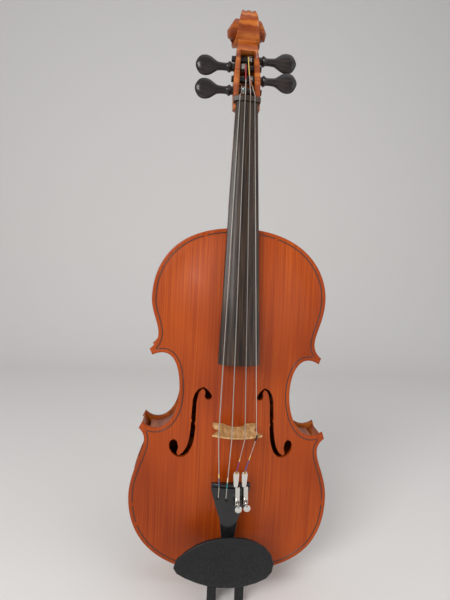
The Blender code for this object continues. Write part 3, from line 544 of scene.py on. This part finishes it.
def make_ribs():
    low = EDGE + SEAM
    high = BODY_DEPTH - EDGE - SEAM
    for side, sign, shape in (("bass", -1, BASS), ("treble", 1, TREBLE)):
        for stretch, curve in side_curves(shape).items():
            face = inset(curve, OVERHANG)
            back = inset(curve, OVERHANG + RIB)
            if stretch == "waist":
                away = [min(math.dist(p, curve[0]), math.dist(p, curve[-1])) for p in curve]
                keep = [i for i, gap in enumerate(away) if gap > CORNER_REACH]
            else:
                keep = range(len(curve))
            rings = []
            for i in keep:
                fx, bx = (max(face[i][0], 0.15), max(back[i][0], 0.15))
                rings.append([(sign * fx, low, face[i][1]), (sign * fx, high, face[i][1]),
                              (sign * bx, high, back[i][1]), (sign * bx, low, back[i][1])])
            rib = loft(f"rib_{stretch}_{side}", rings, LOOKS["ribs"])
            if stretch == "lower":
                boolean(rib, button_cutter())


def button_cutter():
    if "button_bore" in bpy.data.objects:
        return bpy.data.objects["button_bore"]
    middle = BODY_DEPTH / 2
    return turned("button_bore", ((-5, 4.6, 4.6), (30, 4.6, 4.6)),
                  lambda t, a, b: (a, middle + b, t), None, 16, group=CUTTERS)


def board_edge(z):
    return BOARD_EDGE_AT_BODY - NECK_SLOPE * (BODY_LENGTH - z)


def board_half(z):
    share = (BOARD_TOP_Z - z) / (BOARD_TOP_Z - BOARD_END_Z)
    return BOARD_HALF_TOP + (BOARD_HALF_END - BOARD_HALF_TOP) * share


def crown_ring(z, half, edge, under, radius, count=8):
    """A section flat below and curved above."""
    drop = math.sqrt(radius**2 - half**2)
    ring = []
    for i in range(count + 1):
        x = half * (2 * i / count - 1)
        ring.append((x, edge + drop - math.sqrt(radius**2 - x * x), z))
    return ring + [(half, under, z), (-half, under, z)]


def make_board():
    rings = []
    for z in (BOARD_END_Z, (BOARD_END_Z + BODY_LENGTH) / 2, BODY_LENGTH, BOARD_TOP_Z):
        edge = board_edge(z)
        rings.append(crown_ring(z, board_half(z), edge, edge + BOARD_SIDE, BOARD_RADIUS))
    loft("fingerboard", rings, LOOKS["board"])
    low = BOARD_TOP_Z + SEAM
    rings = []
    for z in (low, low + NUT_LENGTH):
        edge = board_edge(low) - NUT_RISE + 1.0
        rings.append(crown_ring(z, NUT_HALF_WIDTH, edge, board_edge(z) + BOARD_SIDE, BOARD_RADIUS))
    loft("nut", rings, LOOKS["board"])


def nut_top(x):
    edge = board_edge(BOARD_TOP_Z + SEAM) - NUT_RISE + 1.0
    drop = math.sqrt(BOARD_RADIUS**2 - NUT_HALF_WIDTH**2)
    return edge + drop - math.sqrt(BOARD_RADIUS**2 - x * x)


def scroll_half_width(turn):
    return smooth_steps(SCROLL_WIDTH, math.degrees(turn))


def make_scroll():
    """A spiral band that gets smaller and wider turn by turn, both sides, ending in the eye."""
    steps = SCROLL_STEPS
    start = math.radians(SCROLL_START)
    last = int(steps * SCROLL_TURNS)
    points = []
    index = {}

    def put(key, radius, turn, x):
        index[key] = len(points)
        points.append((x, SCROLL_CENTRE[0] + radius * math.cos(turn),
                       SCROLL_CENTRE[1] + radius * math.sin(turn)))

    def radius_at(turn):
        return SCROLL_RADIUS - SCROLL_PITCH * (turn - start) / (2 * math.pi)

    for i in range(last + 1):
        turn = start + 2 * math.pi * i / steps
        radius = radius_at(turn)
        width = scroll_half_width(turn)
        inner = radius_at(turn + 2 * math.pi)
        low = 0.0 if i < steps else scroll_half_width(turn - 2 * math.pi) - CHANNEL
        flute = FLUTE if i < steps else 0.0
        for sign in (1, -1):
            put(("low", i, sign), radius, turn, sign * low)
            put(("flute", i, sign), radius - flute, turn, sign * (low + (width - low) * 0.5))
            put(("rim", i, sign), radius, turn, sign * (width - CHAMFER))
            put(("edge", i, sign), radius - CHAMFER, turn, sign * width)
            put(("floor", i, sign), radius * 0.55 + inner * 0.45, turn, sign * (width - CHANNEL))
    eye_turn = start + 2 * math.pi * SCROLL_TURNS
    for sign in (1, -1):
        put(("eye", 0, sign), 0.0, 0.0, sign * (scroll_half_width(eye_turn) + 0.8))
    faces = []
    for sign in (1, -1):
        for i in range(last):
            for a, b in (("low", "flute"), ("flute", "rim"), ("rim", "edge")):
                faces.append((index[a, i, sign], index[a, i + 1, sign],
                              index[b, i + 1, sign], index[b, i, sign]))
            edge = (index["edge", i, sign], index["edge", i + 1, sign])
            floor = (index["floor", i, sign], index["floor", i + 1, sign])
            if i + 1 <= last - steps:
                foot = (index["low", i + steps, sign], index["low", i + 1 + steps, sign])
                faces.append((*edge, floor[1], floor[0]))
                faces.append((*floor, foot[1], foot[0]))
            else:
                faces.append((*edge, index["eye", 0, sign]))
        seam = last - steps
        fan = [("floor", seam), ("low", last), ("flute", last), ("rim", last), ("edge", last),
               ("eye", 0)]
        for (a, i), (b, k) in zip(fan, fan[1:]):
            faces.append((index["edge", seam, sign], index[a, i, sign], index[b, k, sign]))
    first = [index[key, 0, 1] for key in ("low", "flute", "rim", "edge", "floor")]
    other = [index[key, 0, -1] for key in ("flute", "rim", "edge", "floor")]
    faces.append((*first, index["low", steps, 1], index["low", steps, -1], *other[::-1]))
    faces.append((index["low", steps - 1, 1], index["low", steps, -1], index["low", steps, 1]))
    used = {i for face in faces for i in face}
    slots = {old: new for new, old in enumerate(sorted(used))}
    return [points[i] for i in sorted(used)], [tuple(slots[i] for i in face) for face in faces]


def make_neck():
    rings = []
    for z, rear in NECK_BACK:
        front = board_edge(z) + BOARD_SIDE + SEAM
        half = board_half(min(z, BOARD_TOP_Z)) - 0.1
        deep = rear - front
        shape = HEEL_SHAPE if z < HEEL_TOP else NECK_SHAPE
        right = [(half * a, front + deep * b, z) for a, b in shape]
        rings.append(right + [(-x, y, z) for x, y, z in right[-2::-1]])
    neck = loft("neck", rings, LOOKS["neck"])
    rings = [[(-w, f, z), (w, f, z), (w, b - 5, z), (w - 5, b, z), (5 - w, b, z), (-w, b - 5, z)]
             for z, f, b, w in PEGBOX]
    pegbox = loft("pegbox_solid", rings, LOOKS["neck"], group=CUTTERS)
    points, faces = make_scroll()
    scroll = make_object("scroll_solid", points, faces, LOOKS["neck"], group=CUTTERS)
    half = BUTTON_HALF_WIDTH - 0.5
    tenon = box("heel_tenon", (-half, EDGE + SEAM + 0.1, BODY_LENGTH - OVERHANG + FIT),
                (half, BODY_DEPTH - EDGE - 0.4, BODY_LENGTH + 3), LOOKS["neck"], CUTTERS)
    for piece in (pegbox, scroll, tenon):
        boolean(neck, piece, "UNION")
    rings = []
    for z, half in zip(CAVITY_Z, CAVITY_HALF):
        rear = smooth_steps([(s[0], s[2]) for s in PEGBOX], z) - CAVITY_FLOOR
        rings.append([(-half, -5, z), (half, -5, z), (half, rear, z), (-half, rear, z)])
    boolean(neck, loft("pegbox_cavity", rings, None, group=CUTTERS))
    for name, sign, y, z, _ in PEGS:
        sections = ((-24, 3.2 + FIT, 3.2 + FIT), (24, 4.6 + FIT, 4.6 + FIT))
        hole = turned(f"peg_hole_{name}", sections, peg_place(sign, y, z), None, 16,
                      group=CUTTERS)
        boolean(neck, hole)


def peg_place(sign, y, z):
    return lambda t, a, b: (sign * t, y + a, z + b)


def make_pegs():
    sections = refined(PEG_SECTIONS, PEG_ROWS)
    for name, sign, y, z, _ in PEGS:
        turned(f"peg_{name}", sections, peg_place(sign, y, z), LOOKS["pegs"], origin=(0, y, z))


def bridge_top(x):
    return BRIDGE_CROWN + BRIDGE_RADIUS - math.sqrt(BRIDGE_RADIUS**2 - x * x)


def make_bridge():
    def foot(x):
        return min(top_outer(x, BRIDGE_Z + d) for d in (-3, 0, 3)) - SEAM

    right = [(12.0, foot(12.0)), (18.0, foot(18.0)), (24.4, foot(24.4))]
    right += list(BRIDGE_SIDE)
    right += [(x, bridge_top(x)) for x in (20.0, 13.0, 6.5)]
    left = [(-x, y) for x, y in reversed(right)]
    ring = right + [(0.0, bridge_top(0.0))] + left
    ring += [(-x, y) for x, y in BRIDGE_ARCH[:-1]] + list(BRIDGE_ARCH[::-1])
    base = foot(18.0)
    rings = []
    for sign in (1, -1):
        face = []
        for x, y in ring:
            share = (y - base) / (BRIDGE_CROWN - base)
            half = BRIDGE_HALF_FOOT + (BRIDGE_HALF_TOP - BRIDGE_HALF_FOOT) * share
            face.append((x, y, BRIDGE_Z + sign * half))
        rings.append(face)
    loft("bridge", rings, LOOKS["bridge"])


def tail_surface(z):
    return TAIL_SURFACE_LOW - TAIL_SLOPE * (z - TAIL_SECTIONS[0][0])


def tail_top(x, z):
    half = smooth_steps(TAIL_SECTIONS, z)
    rise = TAIL_CROWN * half / TAIL_SECTIONS[-1][1]
    return tail_surface(z) - rise * (1 - min(abs(x - TAIL_X) / half, 1) ** 2)


def make_tailpiece():
    rings = []
    for z, half in TAIL_SECTIONS:
        xs = [half * (i / 4 - 1) + TAIL_X for i in range(9)]
        ring = [(x, tail_top(x, z), z) for x in xs]
        under = tail_surface(z) + TAIL_THICK
        rings.append(ring + [(xs[-1] - 1, under, z), (xs[0] + 1, under, z)])
    loft("tailpiece", rings, LOOKS["black"])
    rings = []
    for z in (FRET_Z - FRET_HALF_LENGTH, FRET_Z + FRET_HALF_LENGTH):
        xs = [FRET_HALF_WIDTH * (i / 4 - 1) + TAIL_X for i in range(9)]
        top = [(x, tail_top(x, z) - SEAM - FRET_RISE, z) for x in xs]
        rings.append(top + [(x, tail_top(x, z) - SEAM, z) for x in reversed(xs)])
    loft("tailpiece_fret", rings, LOOKS["black"])


def make_tuners():
    for name, body_x, lobe_x, screw_x in TUNERS:
        low, high = TUNER_Z
        rings = []
        for z in (low, SCREW_Z + 4, high):
            x = body_x + (screw_x - body_x) * (high - z) / (high - low)
            y = min(tail_top(x + d, z) for d in (-3, 0, 3)) - 1.9
            rings.append([(x - 2.2, y - 1.6, z), (x + 2.2, y - 1.6, z), (x + 2.8, y, z),
                          (x - 2.8, y, z)])
        loft(f"tuner_body_{name}", rings, LOOKS["nickel"])
        rings = []
        for z, half, thick in LEVER_SECTIONS:
            rings.append([(lobe_x - half, LEVER_Y + thick, z), (lobe_x + half, LEVER_Y + thick, z),
                          (lobe_x + half, LEVER_Y, z), (lobe_x - half, LEVER_Y, z)])
        loft(f"tuner_lever_{name}", rings, LOOKS["nickel"], origin=(lobe_x, LEVER_Y + 1.0, LEVER_PIVOT_Z))
        foot = min(tail_top(screw_x + d, SCREW_Z) for d in (-3, 0, 3)) - 3.5 - 2 * FIT
        sections = ((foot, 1.3, 1.3), (foot - 3.0, 1.3, 1.3), (foot - 3.2, 3.6, 3.6),
                    (foot - 6.4, 3.8, 3.8), (foot - 7.2, 2.4, 2.4))
        turned(f"tuner_screw_{name}", sections,
               lambda t, a, b, x=screw_x: (x + a, t, SCREW_Z + b), LOOKS["nickel"], 12,
               (screw_x, foot, SCREW_Z))


def make_tail_fittings():
    middle = BODY_DEPTH / 2
    sections = ((22, 4.0, 4.0), (-2.0, 4.1, 4.1), (-5.5, 4.4, 4.4), (-6.2, 8.0, 8.0),
                (-11.0, 8.4, 8.4), (-13.0, 5.0, 5.0))
    turned("end_button", sections, lambda t, a, b: (a, middle + b, t), LOOKS["pegs"], 14)
    rings = []
    for x in (-18, -9, 0, 9, 18):
        deep = min(top_outer(x, z) for z in (0.6, 7.0, 11.0)) - FIT
        rings.append([(x, deep, 0.6), (x, deep, 7.0), (x, -5.6, 6.0), (x, -5.6, 1.6)])
    loft("saddle", rings, LOOKS["board"])
    reach = 5.9
    under = TAIL_SURFACE_LOW + TAIL_THICK + 1.5
    half = [(-6.3, under, 26.0), (-6.3, under, 12.0), (-6.3, -7.6, 5.0), (-6.3, -6.6, 0.0),
            (-6.2, 0.0, -3.6), (-6.0, middle - 8, -3.8)]
    arc = [(reach * math.cos(a), middle + reach * math.sin(a), -3.8)
           for a in [math.radians(180 - 20 * i) for i in range(0, 10)]]
    right = [(-x, y, z) for x, y, z in half[::-1]]
    right = [(x if z < 5 else x + 2 * TAIL_X, y, z) for x, y, z in right]
    tube("tailgut", half + arc + right, 0.9, LOOKS["cup"])


def make_chin_rest():
    cx, cz = CUP_CENTRE
    rings = [[(cx + (x - cx) * s, y, cz + (z - cz) * s) for x, z in CUP_RIM] for s, y in CUP_RINGS]
    loft("chinrest_cup", rings, LOOKS["cup"])
    rear = back_outer(0, 9.0) + FIT
    for side, x in zip(("bass", "treble"), CLAMP_X):
        sole = min(min(top_outer(x + d, 18.0) for d in (-5.5, 0, 5.5)), -5.6) - FIT
        shape = ((SUPPORT_FRONT, -10.0), (SUPPORT_REAR, -10.0), (SUPPORT_REAR, 7.6), (sole, 7.6),
                 (sole, 15.0), (SUPPORT_REAR, 15.0), (SUPPORT_REAR, 25.0), (SUPPORT_FRONT, 25.0))
        prism(f"chinrest_support_{side}", shape, lambda u, v, w: (w, u, v),
              x - CLAMP_HALF, x + CLAMP_HALF, LOOKS["cup"])
        sections = ((-26.2, 1.6, 1.6), (-14, 1.6, 1.6), (-13.4, 3.6, 3.6), (31, 3.6, 3.6),
                    (31.6, 1.6, 1.6), (rear - FIT, 1.6, 1.6))
        turned(f"clamp_barrel_{side}", sections, lambda t, a, b, x=x: (x + a, t, CLAMP_Z + b),
               LOOKS["nickel"], 12, (x, 0, CLAMP_Z))
    box("clamp_foot", (CLAMP_X[0] - CLAMP_HALF, rear, -10.0),
        (CLAMP_X[1] + CLAMP_HALF, rear + 3, 9.0), LOOKS["cup"])


def shader_of(tree):
    return tree.nodes["Principled BSDF"]


def plain(name, colour, roughness, metallic=0.0, coat=0.0):
    material = bpy.data.materials.new(name)
    material.use_nodes = True
    shader = shader_of(material.node_tree)
    shader.inputs["Base Color"].default_value = (*colour, 1.0)
    shader.inputs["Roughness"].default_value = roughness
    shader.inputs["Metallic"].default_value = metallic
    shader.inputs["Coat Weight"].default_value = coat
    shader.inputs["Coat Roughness"].default_value = COAT_ROUGHNESS
    return material


def noise(tree, stretch, detail=3.0, distortion=0.0):
    """A noise stretched into grain: stretch is features per metre along x, y and z."""
    place = tree.nodes.new("ShaderNodeTexCoord")
    mapping = tree.nodes.new("ShaderNodeMapping")
    mapping.inputs["Scale"].default_value = stretch
    texture = tree.nodes.new("ShaderNodeTexNoise")
    texture.inputs["Scale"].default_value = 1.0
    texture.inputs["Detail"].default_value = detail
    texture.inputs["Distortion"].default_value = distortion
    tree.links.new(place.outputs["Object"], mapping.inputs["Vector"])
    tree.links.new(mapping.outputs["Vector"], texture.inputs["Vector"])
    return texture.outputs["Fac"]


def ramp(tree, source, stops):
    node = tree.nodes.new("ShaderNodeValToRGB")
    while len(node.color_ramp.elements) < len(stops):
        node.color_ramp.elements.new(0.5)
    for element, (place, colour) in zip(node.color_ramp.elements, stops):
        element.position = place
        element.color = (*colour, 1.0)
    tree.links.new(source, node.inputs["Fac"])
    return node.outputs["Color"]


def multiply(tree, first, second):
    node = tree.nodes.new("ShaderNodeMix")
    node.data_type = "RGBA"
    node.blend_type = "MULTIPLY"
    node.inputs["Factor"].default_value = 1.0
    tree.links.new(first, node.inputs["A"])
    tree.links.new(second, node.inputs["B"])
    return node.outputs["Result"]


def bump(tree, source, strength):
    node = tree.nodes.new("ShaderNodeBump")
    node.inputs["Strength"].default_value = strength
    node.inputs["Distance"].default_value = BUMP_DISTANCE
    tree.links.new(source, node.inputs["Height"])
    tree.links.new(node.outputs["Normal"], shader_of(tree).inputs["Normal"])


def grained(name, grain, grain_stops, patches, patch_stops, roughness, coat, relief):
    """Wood: fine grain times broad patches of colour under a clear coat."""
    material = plain(name, (0.5, 0.5, 0.5), roughness, 0.0, coat)
    tree = material.node_tree
    lines = noise(tree, grain, detail=4.0, distortion=0.15)
    broad = noise(tree, patches, detail=2.0)
    colour = multiply(tree, ramp(tree, lines, grain_stops), ramp(tree, broad, patch_stops))
    tree.links.new(colour, shader_of(tree).inputs["Base Color"])
    shader_of(tree).inputs["Specular IOR Level"].default_value = WOOD_SPECULAR
    bump(tree, lines, relief)
    return material


def make_looks():
    looks = {name: grained(name, *values) for name, values in GRAINED.items()}
    looks["nickel"] = plain("nickel", (0.72, 0.70, 0.66), 0.22, 1.0)
    looks["string"] = plain("string", (0.62, 0.58, 0.53), 0.3, 1.0)
    for name, stretch, strength in (("nickel", (900, 900, 900), 0.05), ("string", (50, 50, 6000), 0.2)):
        tree = looks[name].node_tree
        bump(tree, noise(tree, stretch), strength)
    looks["purfling"] = plain("purfling", (0.02, 0.011, 0.008), 0.4, 0.0, 0.4)
    return looks


def tube(name, points, radius, material):
    """A round cord through points, which rides on the body."""
    curve = bpy.data.curves.new(name, "CURVE")
    curve.dimensions = "3D"
    curve.bevel_depth = radius * MM
    curve.bevel_resolution = 4
    curve.use_fill_caps = True
    spline = curve.splines.new("POLY")
    spline.points.add(len(points) - 1)
    for knot, p in zip(spline.points, points):
        knot.co = (*((Vector(p) - HANGER) * MM), 1.0)
    obj = bpy.data.objects.new(name, curve)
    curve.materials.append(material)
    PART.objects.link(obj)
    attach(obj, "body")


def make_purfling(ring, outer, sign, name):
    """The dark inlaid line near the edge, as a thin ribbon that lies on the plate."""
    rim = np.array(ring)
    inner = inner_row(ring, PURFLING_INSET + PURFLING_HALF)
    outside = inner_row(ring, PURFLING_INSET - PURFLING_HALF)
    good = [i for i in range(len(ring))
            if edge_gap(inner[i], rim) > (PURFLING_INSET + PURFLING_HALF) * PURFLING_SHARE
            and edge_gap(outside[i], rim) > (PURFLING_INSET - PURFLING_HALF) * PURFLING_SHARE]
    points = []
    for i in good:
        for x, z in (inner[i], outside[i]):
            lift = edge_lift(edge_gap((x, z), rim))
            points.append((x, outer(x, z) + sign * (lift - PURFLING_SINK), z))
    count = len(good)
    faces = [(2 * k, 2 * k + 1, (2 * k + 3) % (2 * count), (2 * k + 2) % (2 * count))
             for k in range(count)]
    ribbon = make_object(name, points, faces, LOOKS["purfling"])
    thick = ribbon.modifiers.new("thick", "SOLIDIFY")
    thick.thickness = PURFLING_THICK * MM
    thick.offset = 0


def string_spot(name, z):
    """The middle of a string between bridge and tail, at one height."""
    _, radius, _, x_bridge, x_tail = next(s for s in STRINGS if s[0] == name)
    start = Vector((x_bridge, bridge_top(x_bridge) - radius - SEAM - 0.1, BRIDGE_Z))
    lobes = {tuner: lobe for tuner, _, lobe, _ in TUNERS}
    if name in lobes:
        end = Vector((lobes[name], LEVER_Y - 0.9, LEVER_STRING_Z))
    else:
        fret = tail_top(x_tail, FRET_Z) - FRET_RISE - SEAM
        end = Vector((x_tail, fret - SEAM - radius - 0.2, FRET_Z))
    return start.lerp(end, (start.z - z) / (start.z - end.z))


def make_silks():
    """The coloured thread on the strings, below the bridge and above the nut."""
    radii = {s[0]: s[1] for s in STRINGS}
    for label, name, high, low, colour in SILKS:
        material = plain("silk_" + label, colour, 0.8)
        bump(material.node_tree, noise(material.node_tree, (60, 60, 4000)), 0.4)
        tube("silk_" + label, [string_spot(name, high), string_spot(name, low)],
             radii[name] + SILK_COVER, material)
    tube("string_protector", [string_spot("a", z) for z in PROTECTOR_Z], PROTECTOR_RADIUS,
         LOOKS["cup"])
    pegs = {peg[0]: peg[2:] for peg in PEGS}
    for name, radius, x_nut, _, _ in STRINGS:
        y, z, x_start = pegs[name]
        start = Vector((x_nut, nut_top(x_nut) - radius - SEAM, BOARD_TOP_Z + NUT_LENGTH))
        reach = PEG_RADIUS + FIT + radius
        dy = start.y - y
        dz = start.z - z
        spread = math.acos(reach / math.hypot(dy, dz))
        aim = math.atan2(dz, dy)
        angle = max((aim + s * spread for s in (1, -1)), key=lambda a: -math.cos(a))
        end = Vector((x_start, y + reach * math.cos(angle), z + reach * math.sin(angle)))
        material = plain("peg_silk_" + name, PEG_SILKS[name], 0.8)
        tube("peg_silk_" + name, [start.lerp(end, share) for share in PEG_SILK_SPAN],
             radius + PEG_SILK_COVER, material)


def make_tail_details():
    """Painted shade for the key holes, as near-black disks on the tailpiece instead of cut holes, and
    ball ends on the levers.
    """
    # The key holes are not cut: a near-black disk on the tailpiece is painted shade for the hollow of
    # each hole.
    dark = plain("hole_dark", (0.002, 0.002, 0.002), 0.8)
    for label, x, z in KEYHOLES:
        y = tail_top(x, z)
        sections = [(t, KEYHOLE_RADIUS, KEYHOLE_RADIUS) for t in (y - 0.12, y + 0.6)]
        turned(f"keyhole_{label}", sections, lambda t, a, b, x=x, z=z: (x + a, t, z + b), dark,
               DETAIL_SIDES)
    brass = plain("ball_brass", (0.7, 0.45, 0.16), 0.3, 1.0)
    for name, _, lobe, _ in TUNERS:
        y = LEVER_Y - 1.2
        sections = ((y - 1.5, 0.3, 0.3), (y - 1.2, 1.1, 1.1), (y, 1.6, 1.6), (y + 1.0, 1.2, 1.2))
        turned(f"ball_{name}", sections, lambda t, a, b, x=lobe: (x + a, t, BALL_Z + b), brass,
               DETAIL_SIDES)


def bake_modifiers():
    """Cuts and joins become plain mesh, and the cutters go."""
    graph = bpy.context.evaluated_depsgraph_get()
    for obj in list(PART.objects):
        if obj.type == "MESH" and obj.modifiers:
            mesh = bpy.data.meshes.new_from_object(obj.evaluated_get(graph))
            obj.modifiers.clear()
            obj.data = mesh
    for cutter in list(CUTTERS.objects):
        bpy.data.objects.remove(cutter)


def soften(obj, width):
    edge = obj.modifiers.new("soft_edges", "BEVEL")
    edge.width = width * MM
    edge.segments = 2
    edge.limit_method = "ANGLE"
    edge.angle_limit = math.radians(SOFT_ANGLE)


def refined(sections, count):
    """Turned sections with extra ones between, on a smooth curve."""
    places = np.linspace(sections[0][0], sections[-1][0], count)
    knots = [[(s[0], s[k]) for s in sections] for k in (1, 2)]
    return [(t, *(max(smooth_steps(k, t), 0.2) for k in knots)) for t in places]


def add_camera():
    data = bpy.data.cameras.new("camera")
    data.sensor_fit = "AUTO"
    data.sensor_width = CAMERA_SENSOR
    data.lens = CAMERA_LENS
    data.clip_start = 0.01
    camera = bpy.data.objects.new("camera", data)
    tilt, lean, roll = (math.radians(a) for a in CAMERA_TURN)
    look = Matrix(((1, 0, 0), (0, 0, -1), (0, 1, 0)))
    turn = Matrix.Rotation(roll, 3, "Z") @ Matrix.Rotation(tilt, 3, "X")
    turn = turn @ Matrix.Rotation(lean, 3, "Y") @ look
    axes = Matrix((turn[0], -turn[1], -turn[2])).transposed()
    place = (Vector(CAMERA_PLACE) - HANGER) * MM
    camera.matrix_world = Matrix.Translation(place) @ axes.to_4x4()
    bpy.context.scene.collection.objects.link(camera)
    bpy.context.scene.camera = camera


def add_stage():
    """One sheet that is the floor, bends up and is the wall."""
    start = WALL_Y - WALL_BEND
    profile = [(FLOOR_FRONT, FLOOR_Z), (start, FLOOR_Z)]
    profile += [(start + WALL_BEND * math.sin(a), FLOOR_Z + WALL_BEND * (1 - math.cos(a)))
                for a in [math.radians(6 * i) for i in range(1, 16)]]
    profile += [(WALL_Y, FLOOR_Z + WALL_HEIGHT)]
    points = [(x, y, z) for y, z in profile for x in (-STAGE_HALF, STAGE_HALF)]
    faces = [(2 * i, 2 * i + 1, 2 * i + 3, 2 * i + 2) for i in range(len(profile) - 1)]
    mesh = bpy.data.meshes.new("backdrop")
    mesh.from_pydata(points, [], faces)
    mesh.shade_smooth()
    mesh.materials.append(plain("backdrop", BACKDROP, 0.9))
    sheet = bpy.data.objects.new("backdrop", mesh)
    bpy.context.scene.collection.objects.link(sheet)


def add_lights():
    for name, place, size, power in LIGHTS:
        data = bpy.data.lights.new(name, "AREA")
        data.size = size
        data.energy = power
        lamp = bpy.data.objects.new(name, data)
        lamp.location = place
        aim = Vector(LIGHT_AIM) - Vector(place)
        lamp.rotation_euler = aim.to_track_quat("-Z", "Y").to_euler()
        bpy.context.scene.collection.objects.link(lamp)
    world = bpy.data.worlds.new("world")
    world.use_nodes = True
    sky = world.node_tree.nodes["Background"]
    sky.inputs["Color"].default_value = SKY
    sky.inputs["Strength"].default_value = SKY_STRENGTH
    bpy.context.scene.world = world


def node_look(name):
    """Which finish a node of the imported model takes."""
    for start, look in NODE_LOOKS:
        if name.startswith(start):
            return LOOKS[look]
    return LOOKS["inner"]


def make_collection(name):
    group = bpy.data.collections.new(name)
    bpy.context.scene.collection.children.link(group)
    return group


CUTTERS = make_collection("cutters")
PART = make_collection("viola")
MADE = {}
LOOKS = make_looks()

add_camera()
make_plates()
make_ribs()
make_board()
make_neck()
make_pegs()
make_bridge()
make_tailpiece()
make_tuners()
make_tail_fittings()
make_chin_rest()
for width, labels in SOFT_EDGES.items():
    for label in labels:
        soften(MADE[label], width)
bake_modifiers()

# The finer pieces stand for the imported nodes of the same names.
behaviour = frame["record"]["behaviour"]
owners = {node: body for body, nodes in behaviour["bodies"].items() for node in nodes}
for node, piece in MADE.items():
    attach(piece, owners[node])
    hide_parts(node)

# The rest is in the scene alone.
MADE.clear()
make_purfling(outline(), top_outer, 1, "purfling_top")
make_purfling(outline(with_button=True), back_outer, -1, "purfling_back")
make_tail_details()
for label, piece in MADE.items():
    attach(piece, "lever_" + label[-1] if label.startswith("ball_") else "body")
make_silks()

for node, obj in frame["nodes"].items():
    obj.data.materials.clear()
    obj.data.materials.append(node_look(node))
add_stage()
add_lights()
bpy.context.scene.view_settings.view_transform = "Standard"
